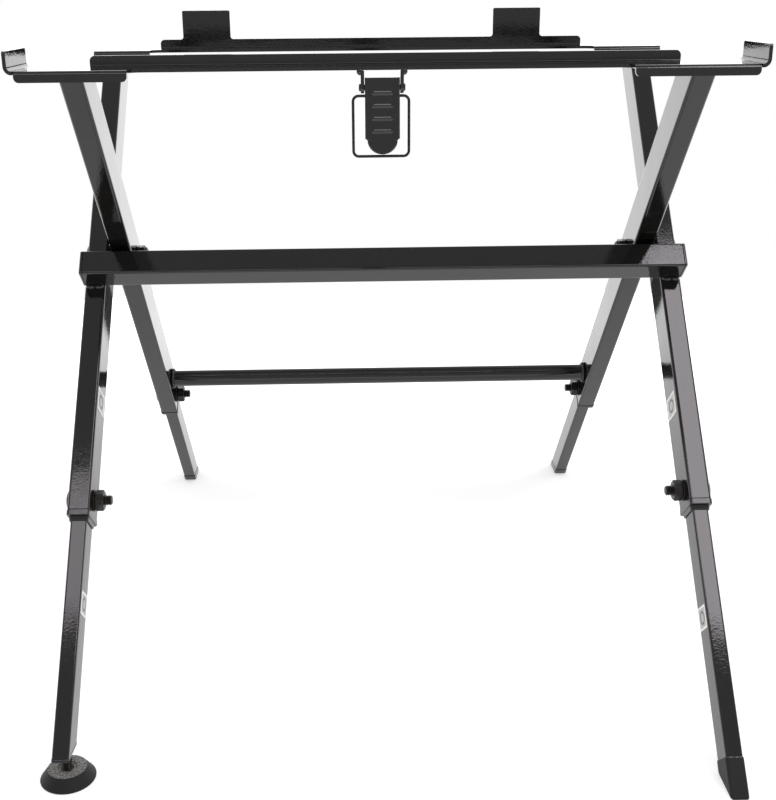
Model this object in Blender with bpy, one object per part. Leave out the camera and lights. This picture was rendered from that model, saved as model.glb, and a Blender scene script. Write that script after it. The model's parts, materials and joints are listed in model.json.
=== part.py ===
"""Folding tool stand: two crossed leg frames, telescopic legs, two saw rails and a draw latch.

Frame: metres, +Z up, -Y to the front, +X to the right. The origin lies on the floor, centred under
the open stand. The two frames turn about one pivot line along X. A leg is drawn in its own frame,
with z along the leg, x across it and y to its back, and is then tilted about the pivot line.
"""
import math

import bmesh
import bpy

MM = 0.001
GAP = 0.3 * MM
SIDES = (("left", -1), ("right", 1))
FINISH = {}

# Crossed frames
PIVOT_HEIGHT = 388.6 * MM
LEG_TILT = math.radians(42.33)
INNER_LEG_X = 257.6 * MM
OUTER_LEG_X = 283.7 * MM

# Rectangular leg tube and the tube that slides in it: width, depth, corner radius
LEG = (20.0 * MM, 38.1 * MM, 2.6 * MM)
EXTENSION = (14.8 * MM, 26.7 * MM, 2.0 * MM)
WALL = 1.2 * MM
INNER_LEG_END = -303.5 * MM
OUTER_LEG_END = -275.0 * MM
INNER_CLAMP = -291.0 * MM
OUTER_CLAMP = -261.0 * MM
EXTENSION_TRAVEL = 120.0 * MM
INNER_EXTENSION_TOP = -150.0 * MM
OUTER_EXTENSION_TOP = -120.0 * MM

# Pressed rails: sheet bent to a Z section, a lip down in front and a lip up behind
SHEET = 3.0 * MM
BEND = 2.5 * MM
RAIL_TOP = 580.0 * MM
FRONT_RAIL_Y = -200.9 * MM
REAR_RAIL_Y = 141.9 * MM
SEAT_DEPTH = 64.0 * MM
DOWN_LIP = 9.0 * MM
LIP_ROOM = 8.0 * MM
NOTCH_DEPTH = 20.0 * MM
HOOK_REACH = 308.4 * MM
HOOK_BEND = 5.0 * MM
HOOK_HEIGHT = 15.5 * MM

# The same rails as flat blanks, across the sheet from where the front bend starts
BEND_ARC = BEND * math.pi / 2
LIP_END = -BEND_ARC - (DOWN_LIP - SHEET / 2 - BEND)
FLAT_FRONT = -SHEET / 2 - BEND
FLAT_BACK = SEAT_DEPTH - SHEET / 2 - BEND
WEB_FLAT = SEAT_DEPTH - 2 * BEND
HOOK_START = HOOK_REACH - SHEET / 2 - HOOK_BEND
HOOK_FLAT = HOOK_BEND * math.pi / 2 + HOOK_HEIGHT + SHEET / 2 - HOOK_BEND

# Bars between the legs
CROSSBAR = 25.4 * MM
CROSSBAR_WALL = 1.5 * MM
CROSSBAR_TOP = -21.0 * MM
CROSSBAR_REACH = 294.9 * MM
ROUND_BAR_RADIUS = 9.5 * MM
ROUND_BAR_HEIGHT = -253.0 * MM

# M10 fasteners
SHANK_RADIUS = 4.8 * MM
HOLE_RADIUS = 5.3 * MM
PIVOT_HOLE_RADIUS = 4.88 * MM
HEAD_RADIUS = 10.0 * MM
HEAD_HEIGHT = 5.0 * MM
NUT_FLATS = 17.0 * MM
NUT_HEIGHT = 8.0 * MM
LOCKNUT_HEIGHT = 10.0 * MM
WASHER = 1.5 * MM
THREAD_END = 6.5 * MM

# Feet: joints along the leg, and the levelling foot under the front left leg
REAR_TIP_HEIGHT = 9.3 * MM
FRONT_TIP_JOINT = -502.7 * MM
PLUG_JOINT = -484.0 * MM
PLUG_SLOPE = 0.693
FOOT_Y = -322.0 * MM
PAD_RADIUS = 23.7 * MM
PAD_TOP_RADIUS = 17.3 * MM
PAD_HEIGHT = 11.4 * MM
STUD_TOP = 42.0 * MM

# Draw latch under the front rail
LATCH_X = -5.4 * MM
LEVER_WIDTH = 29.0 * MM
LEVER_SHEET = 2.0 * MM
LEVER_Y = -184.5 * MM
LEVER_AXIS = (-177.5 * MM, 563.0 * MM)
LEVER_TOP = 571.3 * MM
LEVER_SIDE_END = 520.9 * MM
LEVER_END = 509.3 * MM
EAR = 3.0 * MM
EAR_RADIUS = 4.8 * MM
BAIL_OFFSET = (-1.05 * MM, -2.0 * MM, -6.6 * MM)
BAIL_HALF_WIDTH = 23.1 * MM
BAIL_LENGTH = 49.05 * MM
WIRE_RADIUS = 1.25 * MM
PIN_RADIUS = 2.4 * MM

# Blank labels on the front legs' inner faces: size across and along the leg, and the centre in the
# leg's own frame (back from its middle, up from the pivot)
UPPER_LABEL = (28.0 * MM, 22.0 * MM)
UPPER_LABEL_PLACE = {"left": (-2.0 * MM, -163.0 * MM), "right": (0.0, -175.6 * MM)}
LOWER_LABEL = (22.0 * MM, 21.0 * MM)
LOWER_LABEL_PLACE = {"left": (0.0, -358.5 * MM), "right": (0.0, -381.5 * MM)}


def clear_scene():
    """Removes every object that the open file holds."""
    for item in list(bpy.data.objects):
        bpy.data.objects.remove(item, do_unlink=True)


def material(name, colour, roughness, metallic=0.0):
    """A Principled material with one colour, roughness and metallic value."""
    made = bpy.data.materials.new(name)
    made.use_nodes = True
    shader = made.node_tree.nodes["Principled BSDF"]
    shader.inputs["Base Color"].default_value = (*colour, 1.0)
    shader.inputs["Roughness"].default_value = roughness
    shader.inputs["Metallic"].default_value = metallic
    return made


def empty(name, location, tilt=0.0, parent=None):
    """An empty that stands on a joint's axis. Its location is in its parent's frame."""
    made = bpy.data.objects.new(name, None)
    made.empty_display_size = 0.03
    made.location = location
    made.rotation_euler = (tilt, 0.0, 0.0)
    made.parent = parent
    bpy.context.collection.objects.link(made)
    return made


def place(name, shape, finish, parent=None, location=(0.0, 0.0, 0.0), rotation=(0.0, 0.0, 0.0)):
    """Turns a bmesh into a named object with its own material slot."""
    bmesh.ops.recalc_face_normals(shape, faces=shape.faces)
    mesh = bpy.data.meshes.new(name)
    shape.to_mesh(mesh)
    shape.free()
    mesh.shade_smooth()
    mesh.set_sharp_from_angle(angle=math.radians(32))
    mesh.materials.append(finish)
    made = bpy.data.objects.new(name, mesh)
    made.parent = parent
    made.location = location
    made.rotation_euler = rotation
    bpy.context.collection.objects.link(made)
    return made


def cutter(name, shape, parent=None, location=(0.0, 0.0, 0.0), rotation=(0.0, 0.0, 0.0)):
    """A solid that only cuts its neighbours."""
    made = place(name, shape, FINISH["bolt"], parent, location, rotation)
    made.hide_render = True
    made.display_type = "WIRE"
    return made


def boolean(target, tool, operation="DIFFERENCE"):
    """Cuts the tool out of the target, or joins it on."""
    step = target.modifiers.new(tool.name, "BOOLEAN")
    step.operation = operation
    step.solver = "EXACT"
    step.object = tool


def arc(centre, radius, start, end, steps=4):
    """Points along an arc, both ends included. Angles are in degrees."""
    points = []
    for step in range(steps + 1):
        angle = math.radians(start + (end - start) * step / steps)
        points.append((centre[0] + radius * math.cos(angle), centre[1] + radius * math.sin(angle)))
    return points


def rounded_rectangle(width, depth, radius, steps=3):
    """Corner points of a rectangle with round corners, counter-clockwise."""
    across = width / 2 - radius
    along = depth / 2 - radius
    centres = ((across, along), (-across, along), (-across, -along), (across, -along))
    points = []
    for quarter, centre in enumerate(centres):
        points += arc(centre, radius, 90 * quarter, 90 * quarter + 90, steps)
    return points


def section(size, height, slope=0.0, grow=0.0):
    """A rounded rectangle as 3-D points, at a height that may slope with y."""
    width, depth, radius = size
    outline = rounded_rectangle(width + 2 * grow, depth + 2 * grow, max(radius + grow, 0.3 * MM))
    return [(x, y, height + slope * y) for x, y in outline]


def loft(sections, loop=False):
    """Skins sections that have equal point counts. A loop makes a ring, else both ends are capped."""
    shape = bmesh.new()
    rings = [[shape.verts.new(point) for point in points] for points in sections]
    following = rings[1:] + rings[:1] if loop else rings[1:]
    for ring, after in zip(rings, following):
        for index in range(len(ring)):
            other = (index + 1) % len(ring)
            shape.faces.new((ring[index], ring[other], after[other], after[index]))
    if not loop:
        shape.faces.new(rings[0])
        shape.faces.new(rings[-1])
    return shape


def extrude(outline, low, high):
    """A prism over an outline in x and y."""
    return loft([[(x, y, low) for x, y in outline], [(x, y, high) for x, y in outline]])


def turned(profile, steps=24, closed=False):
    """Spins a profile of (radius, z) points about z."""
    shape = bmesh.new()
    points = [shape.verts.new((radius, 0.0, z)) for radius, z in profile]
    edges = [shape.edges.new(pair) for pair in zip(points, points[1:])]
    if closed:
        edges.append(shape.edges.new((points[-1], points[0])))
    bmesh.ops.spin(shape, geom=points + edges, cent=(0, 0, 0), axis=(0, 0, 1), angle=math.tau,
                   steps=steps, use_merge=True, use_duplicate=False)
    bmesh.ops.remove_doubles(shape, verts=shape.verts, dist=1e-7)
    return shape


def rod(radius, low, high, steps=24):
    """A plain round bar along z."""
    return turned([(0.0, low), (radius, low), (radius, high), (0.0, high)], steps)


def height_on_leg(height, tilt):
    """Distance along a leg, on its centre line, at which it reaches a height above the floor."""
    return (height - PIVOT_HEIGHT) / math.cos(tilt)


def level_slope(tilt):
    """Slope of a level cut across a leg, along the leg per unit of the leg's y."""
    return -math.tan(tilt)


def leg_tube(name, side, leg_x, tilt, end, clamp, parent):
    """A leg tube: cut level under its rail, square at its lower end, drilled for pivot and clamp."""
    top = height_on_leg(RAIL_TOP - SHEET - GAP, tilt)
    slope = level_slope(tilt)
    shape = loft([
        section(LEG, end),
        section(LEG, top, slope),
        section(LEG, top, slope, -WALL),
        section(LEG, end, 0.0, -WALL)], loop=True)
    tube = place(name, shape, FINISH["paint"], parent, (side * leg_x, 0, 0))
    for hole, height, radius in (("pivot", 0.0, PIVOT_HOLE_RADIUS), ("clamp", clamp, HOLE_RADIUS)):
        drill = rod(radius, -LEG[0], LEG[0])
        boolean(tube, cutter(f"{name}_{hole}_hole", drill, parent, (side * leg_x, 0, height),
                             (0, math.pi / 2, 0)))
    return tube


def extension_tube(name, side, leg_x, top, bottom, slope, clamp, parent):
    """A sliding lower leg tube. Its slot for the clamp bolt stays inside the upper tube at rest."""
    shape = loft([
        section(EXTENSION, bottom, slope),
        section(EXTENSION, top),
        section(EXTENSION, top, 0.0, -WALL),
        section(EXTENSION, bottom, slope, -WALL)], loop=True)
    tube = place(name, shape, FINISH["paint"], parent, (side * leg_x, 0, 0))
    stadium = arc((0, EXTENSION_TRAVEL), HOLE_RADIUS, 0, 180, 8) + arc((0, 0), HOLE_RADIUS, 180, 360, 8)
    slot = extrude([(-z, y) for y, z in stadium], -LEG[0], LEG[0])
    boolean(tube, cutter(f"{name}_slot", slot, parent, (side * leg_x, 0, clamp), (0, math.pi / 2, 0)))
    return tube


def bushing(name, side, leg_x, end, parent):
    """The plastic sleeve at a leg tube's lower end: a short plug, a proud rim and a tapered lip."""
    low = end - GAP
    rings = [
        section(LEG, end + 5 * MM, 0.0, -WALL - GAP),
        section(LEG, low, 0.0, -WALL - GAP),
        section(LEG, low, 0.0, 0.5 * MM),
        section(LEG, low - 5.2 * MM, 0.0, 0.5 * MM),
        section(EXTENSION, low - 9.2 * MM, 0.0, 1.2 * MM),
        section(EXTENSION, low - 9.2 * MM, 0.0, GAP),
        section(EXTENSION, end + 5 * MM, 0.0, GAP)]
    return place(name, loft(rings, loop=True), FINISH["plastic"], parent, (side * leg_x, 0, 0))


def foot_tip(name, side, leg_x, tilt, joint, slope, finish, parent):
    """A solid foot plugged into an extension tube and cut flat on the floor."""
    floor = height_on_leg(0.0, tilt)
    level = level_slope(tilt)
    rings = [
        section(EXTENSION, joint + 16 * MM, slope, -WALL - GAP),
        section(EXTENSION, joint - GAP, slope, -WALL - GAP),
        section(EXTENSION, joint - GAP, slope, 0.1 * MM),
        section(EXTENSION, joint - 1.4 * MM, slope, 0.7 * MM),
        section(EXTENSION, floor + 1.6 * MM, level, 0.7 * MM),
        section(EXTENSION, floor, level, -0.2 * MM)]
    return place(name, loft(rings), FINISH[finish], parent, (side * leg_x, 0, 0))


def rail_end(x, side, hooked):
    """One end of a rail's blank, from its front lip to the back of its seat, in (x, s)."""
    corner = 4.0 * MM
    edge = x - 1.0 * MM if hooked else x
    low = LIP_END + corner
    points = [(edge - corner + a, b) for a, b in arc((0.0, low), corner, 270, 360)]
    if hooked:
        points += [(edge, 0.0), (x, 0.0), (x, FLAT_FRONT), (x + HOOK_FLAT, FLAT_FRONT),
                   (x + HOOK_FLAT, FLAT_BACK)]
    else:
        points += [(x, FLAT_BACK)]
    return [(side * a, b) for a, b in points]


def unrolled_rail(left, right, lips, notch_radius, upper_edge, hooked):
    """Outline of a rail's blank in (x, s), with s across the sheet from the front bend's start.

    lips holds the inner ends of the two lips in front, upper_edge the outline of the lip behind,
    from right to left, in (x, height above the rear bend).
    """
    corner = 4.0 * MM
    notch = NOTCH_DEPTH - SHEET / 2 - BEND
    low = LIP_END + corner
    inner_left, inner_right = lips
    points = list(reversed(rail_end(-left, -1, hooked)))
    points += arc((inner_left - corner, low), corner, 270, 360)
    points += arc((inner_left + notch_radius, notch - notch_radius), notch_radius, 180, 90)
    points += arc((inner_right - notch_radius, notch - notch_radius), notch_radius, 90, 0)
    points += arc((inner_right + corner, low), corner, 180, 270)
    points += rail_end(right, 1, hooked)
    edge_start = upper_edge[0][0]
    edge_end = upper_edge[-1][0]
    relief = 1.0 * MM
    points += [(edge_start + relief, FLAT_BACK), (edge_start + relief, WEB_FLAT), (edge_start, WEB_FLAT)]
    points += [(x, WEB_FLAT + BEND_ARC + height) for x, height in upper_edge]
    points += [(edge_end, WEB_FLAT), (edge_end - relief, WEB_FLAT), (edge_end - relief, FLAT_BACK)]
    return points


def bent(x, s, lip_ends, edge_ends, hook_start):
    """Place of a blank's point (x, s) once the sheet is bent, from the seat's front middle line."""
    y = s + SHEET / 2 + BEND
    z = 0.0
    if s < 0 and lip_ends[0] <= x <= lip_ends[1]:
        angle = min(-s / BEND, math.pi / 2)
        y = SHEET / 2 + BEND * (1 - math.sin(angle))
        z = -BEND * (1 - math.cos(angle)) - max(-s - BEND * math.pi / 2, 0.0)
    if s > WEB_FLAT and edge_ends[0] <= x <= edge_ends[1]:
        angle = min((s - WEB_FLAT) / BEND, math.pi / 2)
        y = SHEET / 2 + BEND * (1 + math.sin(angle)) + WEB_FLAT
        z = BEND * (1 - math.cos(angle)) + max(s - WEB_FLAT - BEND * math.pi / 2, 0.0)
    if hook_start and abs(x) > hook_start:
        over = abs(x) - hook_start
        angle = min(over / HOOK_BEND, math.pi / 2)
        x = math.copysign(hook_start + HOOK_BEND * math.sin(angle), x)
        z = HOOK_BEND * (1 - math.cos(angle)) + max(over - HOOK_BEND * math.pi / 2, 0.0)
    return x, y, z


def rail(name, outline, lip_ends, edge_ends, hook_start, y, parent):
    """Bends a flat blank along its bend lines and gives it the sheet's thickness."""
    shape = bmesh.new()
    shape.faces.new([shape.verts.new((x, s, 0.0)) for x, s in outline])
    bend_steps = 4
    lines = []
    for step in range(bend_steps + 1):
        turn = BEND * math.pi / 2 * step / bend_steps
        lines += [((0, -turn, 0), (0, 1, 0)), ((0, WEB_FLAT + turn, 0), (0, 1, 0))]
        if hook_start:
            reach = hook_start + HOOK_BEND * math.pi / 2 * step / bend_steps
            lines += [((reach, 0, 0), (1, 0, 0)), ((-reach, 0, 0), (1, 0, 0))]
    for point, normal in lines:
        everything = list(shape.verts) + list(shape.edges) + list(shape.faces)
        bmesh.ops.bisect_plane(shape, geom=everything, dist=1e-7, plane_co=point, plane_no=normal)
    for vertex in shape.verts:
        vertex.co = bent(vertex.co.x, vertex.co.y, lip_ends, edge_ends, hook_start)
    made = place(name, shape, FINISH["paint"], parent, (0, y, RAIL_TOP - SHEET / 2 - PIVOT_HEIGHT))
    thickness = made.modifiers.new("sheet", "SOLIDIFY")
    thickness.thickness = SHEET
    thickness.offset = 0.0
    thickness.use_even_offset = True
    return made


def front_rail(parent):
    """The front rail, with an upturned hook at each end of its seat."""
    height = 8.5 * MM + SHEET / 2 - BEND
    half = 252.0 * MM
    corner = 4.5 * MM
    edge = [(half, 0.0)] + arc((half - corner, height - corner), corner, 0, 90)
    edge += arc((-half + corner, height - corner), corner, 90, 180) + [(-half, 0.0)]
    lips = (-210.5 * MM, 198.7 * MM)
    outline = unrolled_rail(-HOOK_START, HOOK_START, lips, 8.0 * MM, edge, True)
    reach = HOOK_START - 0.5 * MM
    return rail("front_rail", outline, (-reach, reach), (-half - 0.5 * MM, half + 0.5 * MM),
                HOOK_START, FRONT_RAIL_Y, parent)


def rear_rail(parent):
    """The rear rail, with two tall fence tabs on its upper lip."""
    height = 9.0 * MM + SHEET / 2 - BEND
    top = 39.5 * MM + SHEET / 2 - BEND
    left, right = -241.0 * MM, 231.6 * MM
    corner = 4.5 * MM
    fillet = 3.0 * MM
    tip = 1.5 * MM
    edge = [(right, 0.0)] + arc((right - corner, height - corner), corner, 0, 90)
    for low, high in ((132.0 * MM, 184.9 * MM), (-215.3 * MM, -162.4 * MM)):
        edge += arc((high + fillet, height + fillet), fillet, 270, 180)
        edge += arc((high - tip, top - tip), tip, 0, 90, 3)
        edge += arc((low + tip, top - tip), tip, 90, 180, 3)
        edge += arc((low - fillet, height + fillet), fillet, 360, 270)
    edge += arc((left + corner, height - corner), corner, 90, 180) + [(left, 0.0)]
    ends = (-303.9 * MM, 306.3 * MM)
    outline = unrolled_rail(*ends, (-244.1 * MM, 234.8 * MM), 8.0 * MM, edge, False)
    lip_ends = (ends[0] - 0.5 * MM, ends[1] + 0.5 * MM)
    edge_ends = (left - 0.5 * MM, right + 0.5 * MM)
    return rail("rear_rail", outline, lip_ends, edge_ends, 0.0, REAR_RAIL_Y, parent)


def crossbar(parent):
    """The square bar welded across the front of the outer legs, which stops the inner legs."""
    size = (CROSSBAR, CROSSBAR, 2.2 * MM)
    reach = CROSSBAR_REACH - 3.0 * MM
    middle = (0, -(LEG[1] / 2 + GAP + CROSSBAR / 2), CROSSBAR_TOP - CROSSBAR / 2)
    tube = loft([section(size, -reach), section(size, reach),
                 section(size, reach, 0.0, -CROSSBAR_WALL),
                 section(size, -reach, 0.0, -CROSSBAR_WALL)], loop=True)
    place("crossbar", tube, FINISH["paint"], parent, middle, (0, math.pi / 2, 0))
    for word, side in SIDES:
        rings = [
            section(size, reach - 12 * MM, 0.0, -CROSSBAR_WALL - GAP),
            section(size, reach + GAP, 0.0, -CROSSBAR_WALL - GAP),
            section(size, reach + GAP),
            section(size, reach + 1.8 * MM),
            section(size, reach + 3.0 * MM, 0.0, -1.2 * MM)]
        place(f"crossbar_cap_{word}", loft(rings), FINISH["plastic"], parent, middle,
              (0, side * math.pi / 2, 0))


def round_bar(parent):
    """The round stretcher between the inner legs, with a weld bead round each end."""
    reach = INNER_LEG_X - LEG[0] / 2 - GAP
    outer = [(ROUND_BAR_RADIUS + 2.2 * MM, reach), (ROUND_BAR_RADIUS + 1.4 * MM, reach - 2.2 * MM),
             (ROUND_BAR_RADIUS, reach - 4.5 * MM)]
    bore = ROUND_BAR_RADIUS - 1.5 * MM
    profile = outer + [(radius, -z) for radius, z in reversed(outer)] + [(bore, -reach), (bore, reach)]
    place("lower_round_bar", turned(profile, 24, closed=True), FINISH["paint"], parent,
          (0, 0, ROUND_BAR_HEIGHT), (0, math.pi / 2, 0))


def bolt(name, shank, side, location, parent):
    """A domed bolt whose head rests on a leg's outer face. Its axis runs along x."""
    seat = LEG[0] / 2 + GAP
    dome = [(HEAD_RADIUS * math.cos(math.radians(a)), seat + 1.4 * MM + (HEAD_HEIGHT - 1.4 * MM)
             * math.sin(math.radians(a))) for a in (0, 20, 40, 60, 78)]
    profile = [(0.0, -shank), (SHANK_RADIUS - MM, -shank), (SHANK_RADIUS, -shank + MM),
               (SHANK_RADIUS, seat), (HEAD_RADIUS, seat)] + dome + [(0.0, seat + HEAD_HEIGHT)]
    place(name, turned(profile), FINISH["bolt"], parent, location, (0, side * math.pi / 2, 0))


def circle(radius, z, steps=24):
    """A ring of points about z."""
    turns = [math.tau * index / steps for index in range(steps)]
    return [(radius * math.cos(turn), radius * math.sin(turn), z) for turn in turns]


def hexagon(level, chamfer, steps=24):
    """A hexagon's outline that drops towards its corners, as a nut's chamfered face does."""
    points = []
    for index in range(steps):
        turn = math.tau * index / steps
        radius = NUT_FLATS / 2 / math.cos(turn % (math.pi / 3) - math.pi / 6)
        drop = (radius - NUT_FLATS / 2) * chamfer
        points.append((radius * math.cos(turn), radius * math.sin(turn), level + drop))
    return points


def nut(name, side, height, crown, finish, parent, location):
    """A hexagon nut, its seat at z = 0 and its bore on z. A locknut has a round crown."""
    flat = NUT_FLATS / 2
    rings = [circle(flat * 0.97, 0.0), hexagon(0.4 * MM, 0.5), hexagon(height - 0.4 * MM, -0.7),
             circle(flat * 0.95, height)]
    if crown:
        rings += [circle(flat * 0.84, height), circle(flat * 0.84, height + crown - 0.8 * MM),
                  circle(flat * 0.74, height + crown)]
    rings += [circle(HOLE_RADIUS, height + crown), circle(HOLE_RADIUS, 0.0)]
    return place(name, loft(rings, loop=True), FINISH[finish], parent, location,
                 (0, -side * math.pi / 2, 0))


def washer(name, side, parent, location):
    """A flat washer, its seat at z = 0."""
    profile = [(HOLE_RADIUS, 0.0), (HEAD_RADIUS, 0.0), (HEAD_RADIUS, WASHER), (HOLE_RADIUS, WASHER)]
    return place(name, turned(profile, 24, closed=True), FINISH["bolt"], parent, location,
                 (0, -side * math.pi / 2, 0))


def leg_set(frame, leg_x, tilt, end, clamp, extension_top, parent):
    """Both legs of one frame, with their sleeves, clamp bolts, extensions and feet."""
    for word, side in SIDES:
        tag = f"{frame}_{word}"
        upper = f"{'inner' if frame == 'rear' else 'outer'}_leg_{word}"
        tube = leg_tube(upper, side, leg_x, tilt, end, clamp, parent)
        if frame == "front":
            room = extrude(rounded_rectangle(2 * LEG[0], LIP_ROOM, 0.5 * MM), -DOWN_LIP - GAP, SHEET)
            y, z = leg_point(REAR_RAIL_Y + SHEET + GAP - LIP_ROOM / 2, RAIL_TOP, tilt)
            boolean(tube, cutter(f"{upper}_lip_room", room, parent, (side * leg_x, y, z), (-tilt, 0, 0)))
        bushing(f"leg_bushing_{tag}", side, leg_x, end, parent)
        centre = (side * leg_x, 0, clamp)
        tip = -(LEG[0] / 2 + GAP + WASHER + GAP + NUT_HEIGHT + THREAD_END)
        bolt(f"clamp_bolt_{tag}", -tip, side, centre, parent)
        seat = side * (leg_x - LEG[0] / 2 - GAP)
        washer(f"clamp_washer_{tag}", side, parent, (seat, 0, clamp))
        nut(f"clamp_nut_{tag}", side, NUT_HEIGHT, 0.0, "bolt", parent,
            (seat - side * (WASHER + GAP), 0, clamp))
        slide = empty(f"slide_{tag}", (0, 0, 0), 0.0, parent)
        name = f"extension_leg_{tag}"
        if tag == "front_left":
            joint, slope = PLUG_JOINT, PLUG_SLOPE
            plug(side, leg_x, tilt, slide)
        elif tag == "front_right":
            joint, slope = FRONT_TIP_JOINT, 0.0
            foot_tip("foot_tip_front_right", side, leg_x, tilt, joint, slope, "rubber", slide)
        else:
            joint, slope = height_on_leg(REAR_TIP_HEIGHT, tilt), level_slope(tilt)
            foot_tip(f"foot_tip_{tag}", side, leg_x, tilt, joint, slope, "plastic", slide)
        extension_tube(name, side, leg_x, extension_top, joint, slope, clamp, slide)


def plug(side, leg_x, tilt, parent):
    """The end plug that holds the levelling stud, bored upright through its slanted body."""
    rings = [
        section(EXTENSION, PLUG_JOINT + 14 * MM, PLUG_SLOPE, -WALL - GAP),
        section(EXTENSION, PLUG_JOINT - GAP, PLUG_SLOPE, -WALL - GAP),
        section(EXTENSION, PLUG_JOINT - GAP, PLUG_SLOPE),
        section(EXTENSION, PLUG_JOINT - 2.2 * MM, PLUG_SLOPE),
        section(EXTENSION, PLUG_JOINT - 3.2 * MM, PLUG_SLOPE, -1.0 * MM)]
    body = place("foot_plug_front_left", loft(rings), FINISH["plastic"], parent, (side * leg_x, 0, 0))
    bore = rod(HOLE_RADIUS, -60 * MM, 60 * MM)
    y, z = leg_point(FOOT_Y, 30 * MM, tilt)
    boolean(body, cutter("foot_plug_bore", bore, parent, (side * leg_x, y, z), (-tilt, 0, 0)))


def leg_point(y, height, tilt):
    """A point of the stand's middle plane, in a tilted leg frame."""
    up = height - PIVOT_HEIGHT
    return y * math.cos(tilt) + up * math.sin(tilt), up * math.cos(tilt) - y * math.sin(tilt)


def levelling_foot(side, leg_x, parent):
    """The threaded stud and its round rubber pad, upright under the front left leg."""
    axis = empty("levelling_axis", (side * leg_x, FOOT_Y, 0), 0.0, parent)
    foot = 3.2 * MM
    stud = [(0.0, foot), (SHANK_RADIUS, foot), (SHANK_RADIUS, STUD_TOP - MM),
            (SHANK_RADIUS - MM, STUD_TOP), (0.0, STUD_TOP)]
    place("levelling_stud", turned(stud), FINISH["bolt"], axis)
    pad = [(0.0, 0.0), (PAD_RADIUS - 1.2 * MM, 0.0), (PAD_RADIUS, 1.2 * MM),
           (PAD_RADIUS - 0.3 * MM, 3.0 * MM), (PAD_TOP_RADIUS + 0.8 * MM, PAD_HEIGHT - 0.5 * MM), (PAD_TOP_RADIUS, PAD_HEIGHT),
           (HOLE_RADIUS, PAD_HEIGHT), (HOLE_RADIUS, foot - GAP), (0.0, foot - GAP)]
    place("levelling_pad", turned(pad, 36), FINISH["rubber"], axis)


def pivot(word, side, parent):
    """The bolt, spacer and locknut that join one inner leg to one outer leg."""
    nut_seat = INNER_LEG_X - LEG[0] / 2 - GAP
    reach = OUTER_LEG_X - nut_seat + LOCKNUT_HEIGHT - 1.0 * MM
    bolt(f"pivot_bolt_{word}", reach, side, (side * OUTER_LEG_X, 0, 0), parent)
    nut(f"pivot_nut_{word}", side, NUT_HEIGHT, LOCKNUT_HEIGHT - NUT_HEIGHT, "bolt", parent,
        (side * nut_seat, 0, 0))
    low = INNER_LEG_X + LEG[0] / 2 + GAP
    high = OUTER_LEG_X - LEG[0] / 2 - GAP
    profile = [(HOLE_RADIUS, low), (HEAD_RADIUS, low), (HEAD_RADIUS, high), (HOLE_RADIUS, high)]
    place(f"pivot_spacer_{word}", turned(profile, 24, closed=True), FINISH["plastic"], parent,
          (0, 0, 0), (0, side * math.pi / 2, 0))


def latch(parent):
    """The draw latch: two ears welded under the seat, a pin, a thumb lever and a wire bail."""
    seat = RAIL_TOP - SHEET - GAP - LEVER_AXIS[1]
    inner = LEVER_WIDTH / 2 + GAP
    outer = inner + EAR
    origin = (LATCH_X, LEVER_AXIS[0], LEVER_AXIS[1] - PIVOT_HEIGHT)
    across = (0, math.pi / 2, 0)
    for word, side in SIDES:
        outline = [(-EAR_RADIUS, seat)] + arc((0, 0), EAR_RADIUS, 180, 360, 12) + [(EAR_RADIUS, seat)]
        plate = loft([[(side * x, y, z) for y, z in outline] for x in (inner, outer)])
        ear = place(f"latch_ear_{word}", plate, FINISH["paint"], parent, origin)
        bead = [(outer - 0.4 * MM, seat), (outer + 3.6 * MM, seat), (outer + 1.2 * MM, seat - 1.6 * MM),
                (outer, seat - 4.5 * MM), (outer - 0.4 * MM, seat - 4.5 * MM)]
        reach = EAR_RADIUS - 0.6 * MM
        weld = loft([[(side * x, y, z) for x, z in bead] for y in (-reach, reach)])
        boolean(ear, cutter(f"latch_ear_{word}_weld", weld, parent, origin), "UNION")
        hole = rod(PIN_RADIUS + GAP, -LEVER_WIDTH, LEVER_WIDTH, 16)
        boolean(ear, cutter(f"latch_ear_{word}_hole", hole, parent, origin, across))
    head = outer + GAP
    tip = head + 1.2 * MM
    head_radius = PIN_RADIUS + 0.6 * MM
    pin = [(0.0, -tip), (head_radius, -tip), (head_radius, -head), (PIN_RADIUS, -head),
           (PIN_RADIUS, head), (head_radius, head), (head_radius, tip), (0.0, tip)]
    place("latch_pin", turned(pin, 16), FINISH["bolt"], parent, origin, across)
    lever_axis = empty("lever_axis", origin, 0.0, parent)
    lever(lever_axis)
    bail_axis = empty("bail_axis", BAIL_OFFSET, 0.0, lever_axis)
    bail(bail_axis)


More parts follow.
